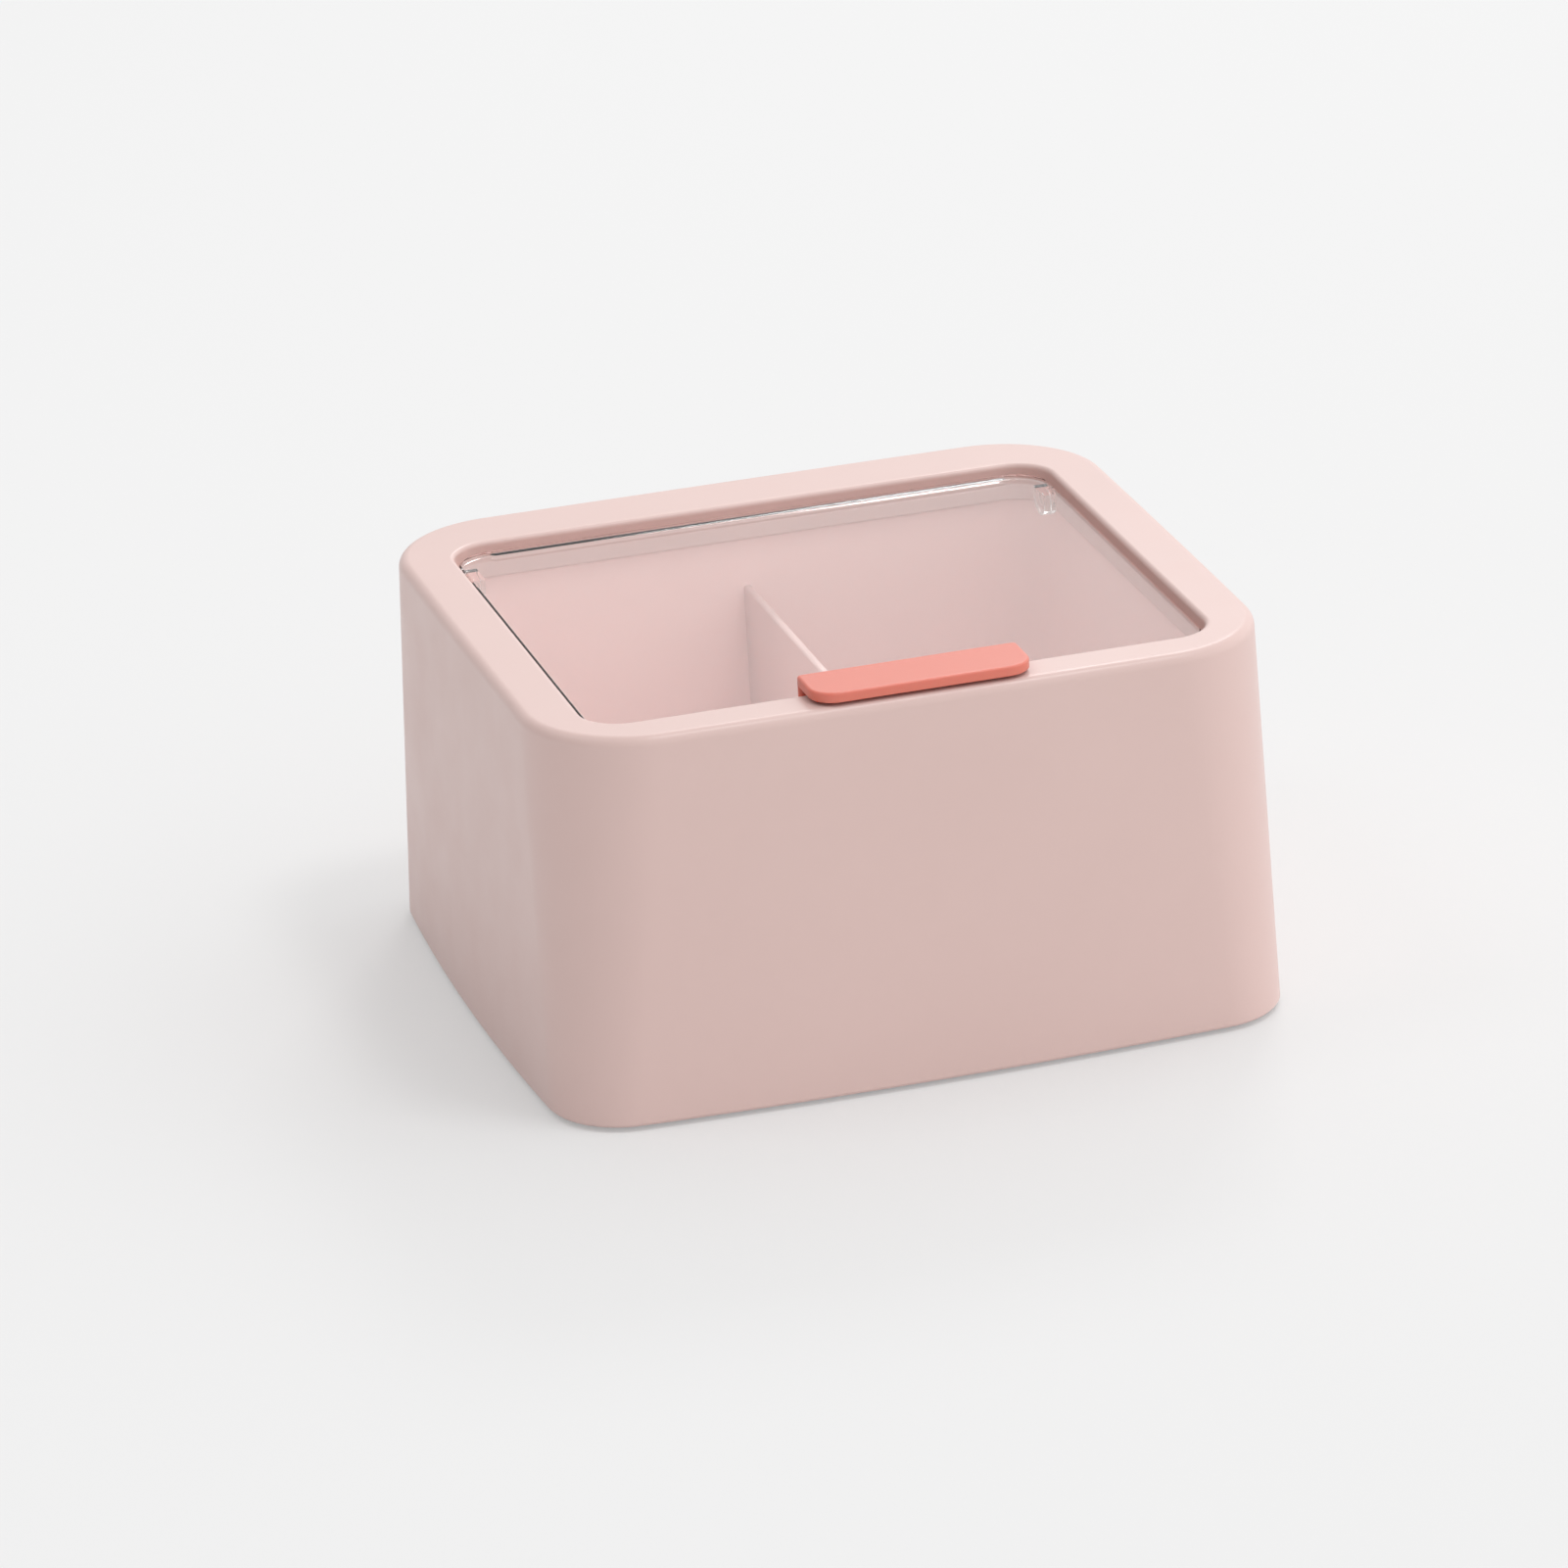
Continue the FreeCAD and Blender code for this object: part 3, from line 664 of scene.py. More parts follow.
@dataclass(frozen=True)
class MouldedPlastic:
    """Injection moulded plastic with a fine spark-eroded surface.

    The eye sees an even, slightly milky colour, a soft broad gloss from the eroded
    texture, and faint clouds where the melt met the mould at different speeds. The real
    texture is about 0.05 mm, and it is drawn coarser so that it shows.
    """

    name: str
    colour: str
    cloud_colour: str
    roughness: float
    roughness_spread: float = 0.05
    ior: float = 1.53
    texture: float = 0.45 * MM
    texture_height: float = 0.006 * MM
    clouds: float = 34 * MM
    scatter: float = 0.0
    scatter_reach: float = 1.2 * MM
    scatter_colour: tuple[float, float, float] = (1.0, 0.45, 0.35)

    def material(self) -> Material:
        """Builds the material.

        Returns:
            The material.
        """
        made, tree = blank_material(self.name)
        where = tree.nodes.new("ShaderNodeTexCoord").outputs["Object"]
        cloud, patch, grain = (
            add(tree, NOISE, {"Vector": where, "Scale": 1 / size, "Detail": detail})
            for size, detail in ((self.clouds, 3.0), (self.clouds / 3, 4.0), (self.texture, 2.0))
        )
        tint = {0: cloud, 6: linear(self.colour), 7: linear(self.cloud_colour)}
        gloss = {
            "Value": patch,
            "From Min": NOISE_LOW,
            "From Max": NOISE_HIGH,
            "To Min": self.roughness - self.roughness_spread,
            "To Max": self.roughness + self.roughness_spread,
        }
        relief = {"Height": grain, "Strength": 1.0, "Distance": self.texture_height}
        surface = {
            "Base Color": add(tree, MIX, tint, data_type="RGBA").outputs[2],
            "Roughness": add(tree, "ShaderNodeMapRange", gloss),
            "Normal": add(tree, "ShaderNodeBump", relief),
            "IOR": self.ior,
            "Subsurface Weight": self.scatter,
            "Subsurface Radius": self.scatter_colour,
            "Subsurface Scale": self.scatter_reach,
        }
        surface = add(tree, "ShaderNodeBsdfPrincipled", surface)
        add(tree, "ShaderNodeOutputMaterial", {"Surface": surface})
        return made


@dataclass(frozen=True)
class ClearPlastic:
    """Clear styrene from a polished mould.

    The eye sees a crisp reflection of the room, bright edges where light gathers in the
    wall, and a trace of flow in the surface.
    """

    name: str
    tint: str
    ior: float = 1.49
    roughness: float = 0.015
    flow: float = 26 * MM
    flow_height: float = 0.01 * MM

    def material(self) -> Material:
        """Builds the material.

        Returns:
            The material.
        """
        made, tree = blank_material(self.name)
        where = tree.nodes.new("ShaderNodeTexCoord").outputs["Object"]
        wave = add(tree, NOISE, {"Vector": where, "Scale": 1 / self.flow, "Detail": 1.0})
        relief = {"Height": wave, "Strength": 1.0, "Distance": self.flow_height}
        solid = {
            "Base Color": linear(self.tint),
            "Roughness": self.roughness,
            "IOR": self.ior,
            "Transmission Weight": 1.0,
            "Normal": add(tree, "ShaderNodeBump", relief),
        }
        solid = add(tree, "ShaderNodeBsdfPrincipled", solid)
        # Lamps and the room shine through the pane, so that the tray under it is lit.
        through = add(tree, "ShaderNodeBsdfTransparent", {"Color": linear(self.tint)})
        ray = tree.nodes.new("ShaderNodeLightPath").outputs
        lit = add(tree, MATH, (ray["Is Shadow Ray"], ray["Is Diffuse Ray"]), operation="MAXIMUM")
        both = add(tree, "ShaderNodeMixShader", (lit, solid, through))
        add(tree, "ShaderNodeOutputMaterial", {"Surface": both})
        return made


@dataclass(frozen=True)
class PlatedSteel:
    """Zinc plated steel: a cool grey metal with a soft, slightly patchy gloss."""

    name: str
    colour: str
    roughness: float
    roughness_spread: float = 0.1
    patches: float = 1.2 * MM

    def material(self) -> Material:
        """Builds the material.

        Returns:
            The material.
        """
        made, tree = blank_material(self.name)
        where = tree.nodes.new("ShaderNodeTexCoord").outputs["Object"]
        patch = add(tree, NOISE, {"Vector": where, "Scale": 1 / self.patches, "Detail": 3.0})
        gloss = {
            "Value": patch,
            "To Min": self.roughness - self.roughness_spread,
            "To Max": self.roughness + self.roughness_spread,
        }
        gloss = add(tree, "ShaderNodeMapRange", gloss)
        surface = {"Base Color": linear(self.colour), "Metallic": 1.0, "Roughness": gloss}
        surface = add(tree, "ShaderNodeBsdfPrincipled", surface)
        add(tree, "ShaderNodeOutputMaterial", {"Surface": surface})
        return made


@dataclass(frozen=True)
class Finishes:
    """All finishes of the object, each made once."""

    # A blush satin whose broad gloss makes the rim paler than the walls.
    shell: Material = field(
        default_factory=MouldedPlastic("moulded ABS, blush satin", "#D7BBB5", "#D3B7B1", 0.36).material
    )
    # The same pink, painted a shade lighter to stand in for the light that the closed box keeps off the tray.
    tray: Material = field(
        default_factory=MouldedPlastic("moulded ABS, blush satin tray", "#F8DCD8", "#F5D8D4", 0.36).material
    )
    # Hardly tinted, so that the pane shows by its edges and its gloss.
    clear: Material = field(default_factory=ClearPlastic("polished clear styrene", "#FDFBFA").material)
    # A warm coral that lets a little light into its edges.
    tab: Material = field(
        default_factory=MouldedPlastic(
            "moulded polypropylene, coral", "#D97866", "#D57260", 0.3, roughness_spread=0.02, scatter=0.25
        ).material
    )
    # Duller than the shell, as undersides are.
    base: Material = field(
        default_factory=MouldedPlastic("moulded ABS, eroded base", "#D3B3AF", "#CCABA7", 0.5).material
    )
    # A cool grey that sets the screws apart from the plastic.
    steel: Material = field(default_factory=PlatedSteel("zinc plated steel", "#B9BBBE", 0.34).material)
    # Matt and greyish against the pink base.
    rubber: Material = field(
        default_factory=MouldedPlastic("moulded silicone foot", "#D2CCC9", "#C8C1BE", 0.62, ior=1.41).material
    )


@dataclass
class Workshop:
    """The node trees and finishes that the sub-assemblies share."""

    sweep: NodeTree = field(default_factory=lambda: sweep_tree(plan_tree()))
    copies: NodeTree = field(default_factory=copies_tree)
    finishes: Finishes = field(default_factory=Finishes)

    def swept(
        self,
        name: str,
        rings: Sequence[Ring],
        plans: Sequence[Plan],
        material: Material,
        columns: int = 192,
    ) -> Mesh:
        """Sweeps a section round its plans.

        Args:
            name: The mesh's name.
            rings: The section, ring by ring.
            plans: The low plan, and the high and the window's where they differ.
            material: The finish.
            columns: Stations round the plan.

        Returns:
            The closed mesh.
        """
        carrier = bpy.data.meshes.new(name + "_section")
        carrier.from_pydata([(0.0, 0.0, ring.height) for ring in rings], [], [])
        for index, label in enumerate(Ring._fields):
            attribute = carrier.attributes.new(label, "FLOAT", "POINT")
            attribute.data.foreach_set("value", [ring[index] for ring in rings])
        values: dict[str, Any] = {"Columns": columns, "Material": material}
        for which, plan in zip(PLANS, (*plans, plans[-1], plans[-1])):
            values |= plan.values(which)
        return grow(name, carrier, self.sweep, values)

    def copied(self, name: str, places: Iterable[Vector], original: Mesh) -> Mesh:
        """Puts a copy of a mesh at each place.

        Args:
            name: The new mesh's name.
            places: Where the copies go.
            original: The mesh to copy, with its material.

        Returns:
            One mesh with all the copies.
        """
        carrier = bpy.data.meshes.new(name + "_places")
        carrier.from_pydata([tuple(place) for place in places], [], [])
        model = bpy.data.objects.new(name + "_original", original)
        values = {"Original": model, "Material": original.materials[0]}
        mesh = grow(name, carrier, self.copies, values)
        bpy.data.objects.remove(model)
        return mesh


@dataclass
class BoxForm:
    """The driving sizes of the box that several pieces share."""

    height: float = 70.5 * MM
    ground_gap: float = 0.8 * MM
    base: Plan = Plan(135.0 * MM, 121.5 * MM, 13.9 * MM, 2.65 * MM)
    top: Plan = Plan(130.4 * MM, 116.9 * MM, 19.9 * MM, 0.3 * MM)
    side_rim: float = 9.7 * MM
    front_rim: float = 8.7 * MM
    rear_rim: float = 13.7 * MM
    window_corner: float = 7.3 * MM
    post_inset: float = 12.0 * MM

    @property
    def flare(self) -> float:
        """How far the base stands out past the top on each side."""
        return (self.base.width - self.top.width) / 2

    @property
    def window(self) -> Plan:
        """Works out the window in the rim.

        Returns:
            Its plan.
        """
        width = self.top.width - 2 * self.side_rim
        front, rear = self.top.front + self.front_rim, self.top.rear - self.rear_rim
        return Plan.between(front, rear, width, self.window_corner)

    def share(self, height: float) -> float:
        """How far a height is up the wall, from 0 to 1."""
        return (height - self.ground_gap) / (self.height - self.ground_gap)

    def corners(self) -> list[Vector]:
        """Places the feet and the screws under the box.

        Returns:
            Their four places.
        """
        x = self.base.width / 2 - self.post_inset
        y = self.base.depth / 2 - self.post_inset
        return [Vector((sx * x, sy * y, 0.0)) for sy in (-1, 1) for sx in (-1, 1)]


@dataclass
class OuterShell:
    """The flared shell with its rim, the lip round the window and the lid's rest pads."""

    form: BoxForm
    shop: Workshop
    wall: float = 2.2 * MM
    rim_thickness: float = 2.6 * MM
    rim_round: float = 1.8 * MM
    window_round: float = 0.8 * MM
    lip_wall: float = 2.0 * MM
    lip_bottom: float = 62.4 * MM
    bottom_chamfer: float = 0.5 * MM
    small_round: float = 0.3 * MM
    pad_span: float = 60.0 * MM
    pad_width: float = 10.0 * MM
    pad_reach: float = 1.6 * MM
    pad_thickness: float = 1.8 * MM
    pad_top: float = 67.15 * MM

    def wall_ring(self, inset: float, height: float) -> Ring:
        """A ring of the wall, from its distance inside the top plan."""
        share = self.form.share(height)
        return Ring(height, inset + self.form.flare * (1 - share), high=share)

    def wall_inset(self, height: float, wall: float) -> float:
        """Where the wall is at a height, as a distance inside the top plan."""
        return wall - self.form.flare * (1 - self.form.share(height))

    def rings(self) -> list[Ring]:
        """Draws the closed section: up the wall, over the rim, round the lip and back.

        Returns:
            The rings.
        """
        low = self.form.ground_gap
        top = self.form.height
        under = top - self.rim_thickness
        chamfer = low + self.bottom_chamfer
        far = self.form.side_rim
        outside = rounded(
            [
                Corner(self.wall_inset(low, self.wall) + self.wall, low),
                Corner(self.wall_inset(low, self.wall), low, self.small_round),
                Corner(self.wall_inset(low, self.bottom_chamfer), low),
                Corner(self.wall_inset(chamfer, 0.0), chamfer, self.small_round),
                Corner(0.0, top, self.rim_round),
                Corner(far, top),
            ],
            10,
        )[1:]
        lip = rounded(
            [
                Corner(-far, top),
                Corner(0.0, top, self.window_round),
                Corner(0.0, self.lip_bottom, self.small_round),
                Corner(-self.lip_wall, self.lip_bottom, self.small_round),
                Corner(-self.lip_wall, under, self.small_round),
                Corner(-far, under),
            ]
        )
        inside = rounded(
            [
                Corner(far, under),
                Corner(self.wall_inset(under, self.wall), under, self.wall / 2),
                Corner(self.wall_inset(low, self.wall), low, self.small_round),
                Corner(self.wall_inset(low, 0.0), low),
            ]
        )
        rings = [self.wall_ring(*point) for point in outside]
        rings += [Ring(height, inset, window=1.0) for inset, height in lip]
        rings += [self.wall_ring(*point) for point in inside]
        return [*rings, rings[0]]

    def rest_pads(self) -> list[Mesh]:
        """Makes the two ledges on the front lip that the closed lid lies on.

        Returns:
            Their meshes, which start inside the lip.
        """
        into_lip = self.lip_wall / 2
        y = self.form.window.front + (self.pad_reach - into_lip) / 2
        z = self.pad_top - self.pad_thickness / 2
        size = Vector((self.pad_width, self.pad_reach + into_lip, self.pad_thickness))
        finish = self.shop.finishes.shell
        return [
            soft_block("rest_pad", Vector((x, y, z)), size, self.small_round, finish)
            for x in (-self.pad_span / 2, self.pad_span / 2)
        ]

    def build(self) -> list[Object]:
        """Makes the shell.

        Returns:
            The finished piece.
        """
        plans = (self.form.base, self.form.top, self.form.window)
        body = self.shop.swept("outer_shell_mesh", self.rings(), plans, self.shop.finishes.shell)
        mesh = joined("shell_body", [body, *self.rest_pads()])
        return [piece("shell_body", mesh, Body.BOX, ["outer_shell"])]


@dataclass
class InnerTray:
    """The tapered tray with its flange and the low divider between two compartments."""

    form: BoxForm
    shop: Workshop
    top: float = 62.2 * MM
    wall: float = 1.8 * MM
    floor: float = 8.2 * MM
    floor_thickness: float = 1.8 * MM
    side_step: float = 1.1 * MM
    front_step: float = 1.5 * MM
    rear_step: float = 1.1 * MM
    top_corner: float = 8.5 * MM
    side_taper: float = 8.0 * MM
    front_taper: float = 2.6 * MM
    rear_taper: float = 1.2 * MM
    bottom_corner: float = 9.0 * MM
    floor_round: float = 2.5 * MM
    flange_width: float = 1.7 * MM
    flange_thickness: float = 1.6 * MM
    divider_thickness: float = 1.4 * MM
    divider_below_rim: float = 17.2 * MM
    crest_round: float = 0.5 * MM
    small_round: float = 0.4 * MM

    @property
    def mouth(self) -> Plan:
        """Works out the inside of the top.

        Returns:
            Its plan.
        """
        window = self.form.window
        front, rear = window.front - self.front_step, window.rear + self.rear_step
        return Plan.between(front, rear, window.width + 2 * self.side_step, self.top_corner)

    @property
    def bottom(self) -> Plan:
        """The inside plan at the floor."""
        front, rear = self.mouth.front + self.front_taper, self.mouth.rear - self.rear_taper
        return Plan.between(front, rear, self.mouth.width - 2 * self.side_taper, self.bottom_corner)

    def up_wall(self, height: float) -> float:
        """How far a height is up the tray's wall, from 0 to 1."""
        return (height - self.floor) / (self.top - self.floor)

    def rings(self) -> list[Ring]:
        """Draws the section from the middle of the underside, over the flange and back in.

        Returns:
            The rings.
        """
        under = self.floor - self.floor_thickness
        flange_under = self.top - self.flange_thickness
        flange_edge = -self.wall - self.flange_width
        far = self.wall * 5
        section = rounded(
            [
                Corner(far, under),
                Corner(-self.wall, under, self.wall / 2),
                Corner(-self.wall, flange_under, self.small_round / 2),
                Corner(flange_edge, flange_under, self.small_round),
                Corner(flange_edge, self.top, self.small_round),
                Corner(0.0, self.top, self.small_round),
                Corner(0.0, self.floor, self.floor_round),
                Corner(far, self.floor),
            ],
            8,
        )
        return [ring._replace(high=self.up_wall(ring.height)) for ring in capped(section)]

    def wall_y(self, height: float, side: int) -> float:
        """Finds where the divider ends in the front or the rear wall.

        Args:
            height: The height.
            side: -1 for the front wall, 1 for the rear wall.

        Returns:
            The y in the middle of the wall.
        """
        low, high = (
            plan.centre_y + side * (plan.depth + self.wall) / 2 for plan in (self.bottom, self.mouth)
        )
        return low + self.up_wall(height) * (high - low)

    def divider(self) -> Mesh:
        """Makes the divider, whose foot swells into the floor and whose ends sit in the walls.

        Returns:
            The mesh of the divider.
        """
        half = self.divider_thickness / 2
        crest = self.form.height - self.divider_below_rim
        side = rounded(
            [
                Corner(0.0, crest),
                Corner(half, crest, self.crest_round),
                Corner(half, self.floor, self.floor_round),
                Corner(half + 2 * self.floor_round, self.floor),
            ],
            8,
        )[:-1]
        side.append((half + self.floor_round, self.floor - self.floor_thickness / 2))
        outline = [*side, *((-x, z) for x, z in reversed(side))]
        count = len(outline)
        points = [(x, self.wall_y(z, side), z) for side in (-1, 1) for x, z in outline]
        faces = [(i, (i + 1) % count, (i + 1) % count + count, i + count) for i in range(count)]
        faces += [tuple(reversed(range(count))), tuple(range(count, 2 * count))]
        mesh = bpy.data.meshes.new("divider")
        mesh.from_pydata(points, [], faces)
        turn_outwards(mesh)
        mesh.polygons.foreach_set("use_smooth", [len(face) == 4 for face in faces])
        mesh.materials.append(self.shop.finishes.tray)
        return mesh

    def build(self) -> list[Object]:
        """Makes the tray.

        Returns:
            The finished piece.
        """
        plans = (self.bottom, self.mouth)
        body = self.shop.swept("tray_mesh", self.rings(), plans, self.shop.finishes.tray)
        mesh = joined("tray_body", [body, self.divider()])
        return [piece("tray_body", mesh, Body.BOX, ["inner_tray"])]


@dataclass
class ClearLid:
    """The clear pane with the lugs and stub axles of its hinge under its rear corners."""

    form: BoxForm
    shop: Workshop
    recess: float = 1.5 * MM
    thickness: float = 1.8 * MM
    side_gap: float = 0.6 * MM
    rear_gap: float = 0.8 * MM
    edge_round: float = 0.6 * MM
    bead_width: float = 2.4 * MM
    bead_height: float = 0.15 * MM
    bead_ridge: float = 0.98
    bead_sunk: float = 1 / 8
    bead_steps: int = 8
    small_round: float = 0.2 * MM
    hinge_before_window: float = 10.3 * MM
    hinge_below_top: float = 3.0 * MM
    lug_radius: float = 3.3 * MM
    lug_width: float = 3.0 * MM
    stub_radius: float = 1.5 * MM
    stub_end: float = 57.8 * MM
    stub_chamfer: float = 0.4 * MM

    @property
    def top(self) -> float:
        """The height of the pane's upper face."""
        return self.form.height - self.recess

    @property
    def plan(self) -> Plan:
        """Works out the lid's outline.

        Returns:
            Its plan.
        """
        window = self.form.window
        front, rear = window.front + self.side_gap, window.rear - self.rear_gap
        return Plan.between(front, rear, window.width - 2 * self.side_gap, window.corner - self.side_gap)

    def pane(self) -> Mesh:
        """Makes the pane.

        Returns:
            The mesh.
        """
        under = self.top - self.thickness
        far = 4 * self.thickness
        section = rounded(
            [
                Corner(far, self.top),
                Corner(0.0, self.top, self.edge_round),
                Corner(0.0, under, self.small_round),
                Corner(far, under),
            ],
            8,
        )
        return self.shop.swept("pane_mesh", capped(section), (self.plan,), self.shop.finishes.clear)

    def rear_bead(self) -> Mesh:
        """Makes the low bead on the rear edge, which catches the light in a thin line.

        Returns:
            The mesh, which starts inside the pane.
        """
        plan = self.plan
        half = self.bead_width / 2
        # The bead's ridge is not quite a line, so that the plan keeps its order.
        reach = self.bead_ridge * half
        middle = plan.rear - self.edge_round - half
        outline = Plan(plan.width - 2 * plan.corner, self.bead_width, reach, 0.0, middle)
        foot = self.top - self.bead_height * self.bead_sunk
        section = [(0.0, self.top - self.thickness / 2)]
        for step in range(self.bead_steps + 1):
            share = step / self.bead_steps
            rise = (self.top + self.bead_height - foot) * share * (2 - share)
            section.append((reach * share, foot + rise))
        finish = self.shop.finishes.clear
        return self.shop.swept("rear_bead", capped(section), (outline,), finish, 96)

    def hinge_parts(self) -> list[Mesh]:
        """Makes the lug and the stub axle on each side.

        Returns:
            The meshes, in place.
        """
        half = self.plan.width / 2
        hinge_y = self.form.window.rear - self.hinge_before_window
        place = Matrix.Translation((0.0, hinge_y, self.top - self.hinge_below_top))
        parts = []
        for label, radius, start, end, edge in (
            ("lug", self.lug_radius, half - self.lug_width, half - self.edge_round, self.small_round),
            ("stub", self.stub_radius, half - self.lug_width / 2, self.stub_end, self.stub_chamfer),
        ):
            ends = [Corner(0.0, start, edge), Corner(0.0, end, edge)]
            rings = capped(rounded([Corner(radius, start), *ends, Corner(radius, end)], 8))
            for side in (-1, 1):
                circle = (Plan.circle(radius),)
                mesh = self.shop.swept(f"{label}_{side}", rings, circle, self.shop.finishes.clear, 48)
                mesh.transform(place @ Matrix.Rotation(side * math.pi / 2, 4, "Y"))
                # A lug ends inside the pane.
                for vertex in mesh.vertices:
                    vertex.co.z = min(vertex.co.z, self.top - self.thickness / 2)
                parts.append(mesh)
        return parts

    def build(self) -> list[Object]:
        """Makes the lid.

        Returns:
            The finished piece.
        """
        mesh = fused("lid_pane", self.pane(), [self.rear_bead(), *self.hinge_parts()])
        return [piece("lid_pane", mesh, Body.LID, ["clear_lid"])]


@dataclass
class PullTab:
    """The pull tab: a plate over the rim on a leg, staked through the pane."""

    lid: ClearLid
    width: float = 39.0 * MM
    offset: float = 1.0 * MM
    depth: float = 11.0 * MM
    thickness: float = 1.8 * MM
    rim_gap: float = 0.6 * MM
    front_corner: float = 4.5 * MM
    rear_corner: float = 0.8 * MM
    corner_steps: int = 10
    edge_round: float = 0.45 * MM
    leg_thickness: float = 1.7 * MM
    leg_margin: float = 1.0 * MM
    stake_radius: float = 0.6 * MM
    head_radius: float = 1.1 * MM
    head_height: float = 0.7 * MM
    stake_pitch: float = 13.0 * MM
    stake_count: int = 3

    @property
    def rear(self) -> float:
        """The y of the tab's rear."""
        return self.lid.plan.front + self.leg_margin + self.leg_thickness

    @property
    def low(self) -> float:
        """The height of the plate's underside."""
        return self.lid.form.height + self.rim_gap

    def slab(
        self, name: str, depth: float, corner: float, section: Sequence[tuple[float, float]]
    ) -> Mesh:
        """Stacks a round-cornered outline along a section, closed at both ends.

        Args:
            name: The mesh's name.
            depth: How far the outline reaches from the tab's rear to the front.
            corner: The radius of its front corners.
            section: Inset and height of each level.

        Returns:
            The mesh.
        """
        front = self.rear - depth
        corners = (
            (1, self.rear - self.rear_corner, self.rear_corner),
            (-1, self.rear - self.rear_corner, self.rear_corner),
            (-1, front + corner, corner),
            (1, front + corner, corner),
        )
        outline = []
        for quarter, (side, y, radius) in enumerate(corners):
            x = self.offset + side * (self.width / 2 - radius)
            for step in range(self.corner_steps + 1):
                angle = (quarter + step / self.corner_steps) * math.pi / 2
                outline.append((x, y, radius, math.cos(angle), math.sin(angle)))
        count = len(outline)
        points = [
            (x + (radius - inset) * cosine, y + (radius - inset) * sine, height)
            for inset, height in section
            for x, y, radius, cosine, sine in outline
        ]
        faces = [
            (row + i, row + (i + 1) % count, row + count + (i + 1) % count, row + count + i)
            for row in range(0, count * (len(section) - 1), count)
            for i in range(count)
        ]
        faces += [tuple(reversed(range(count))), tuple(range(len(points) - count, len(points)))]
        mesh = bpy.data.meshes.new(name)
        mesh.from_pydata(points, [], faces)
        shape = bmesh.new()
        shape.from_mesh(mesh)
        bmesh.ops.remove_doubles(shape, verts=shape.verts, dist=MERGE_DISTANCE)
        bmesh.ops.recalc_face_normals(shape, faces=shape.faces)
        for face in shape.faces:
            face.smooth = True
        shape.to_mesh(mesh)
        shape.free()
        return mesh

    def plate_and_leg(self) -> list[Mesh]:
        """Makes the plate over the rim and the leg that stands on the pane.

        Returns:
            Both meshes.
        """
        low, high = self.low, self.low + self.thickness
        far = 3 * self.edge_round
        section = rounded(
            [
                Corner(far, low),
                Corner(0.0, low, self.edge_round / 2),
                Corner(0.0, high, self.edge_round),
                Corner(far, high),
            ]
        )
        foot = self.lid.top
        levels = (foot, foot + self.edge_round, low + self.thickness / 2)
        meshes = [
            self.slab("tab_plate", self.depth, self.front_corner, section),
            self.slab("tab_leg", self.leg_thickness, self.rear_corner, [(0.0, z) for z in levels]),
        ]
        for mesh in meshes:
            mesh.materials.append(self.lid.shop.finishes.tab)
        return meshes

    def stakes(self) -> Mesh:
        """Makes the round stakes, whose heads hold the tab under the pane.

        Returns:
            One mesh with all the stakes.
        """
        under = self.lid.top - self.lid.thickness
        head_low = under - self.head_height
        stake_top = self.lid.top + self.rim_gap
        neck = self.head_radius - self.stake_radius
        profile = rounded(
            [
                Corner(self.head_radius, head_low),
                Corner(0.0, head_low, self.head_height / 2),
                Corner(0.0, under, self.edge_round / 4),
                Corner(neck, under),
                Corner(neck, stake_top),
                Corner(self.head_radius, stake_top),
            ],
            4,
        )
        circle = (Plan.circle(self.head_radius),)
        finish = self.lid.shop.finishes.tab
        stake = self.lid.shop.swept("stake", capped(profile), circle, finish, 32)
        middle = (self.stake_count - 1) / 2
        y = self.rear - self.leg_thickness / 2
        places = [
            Vector((self.offset + (index - middle) * self.stake_pitch, y, 0.0))
            for index in range(self.stake_count)
        ]
        return self.lid.shop.copied("stakes", places, stake)

    def build(self) -> list[Object]:
        """Makes the tab.

        Returns:
            The finished piece.
        """
        mesh = joined("tab_body", [*self.plate_and_leg(), self.stakes()])
        return [piece("tab_body", mesh, Body.LID, ["pull_tab"])]


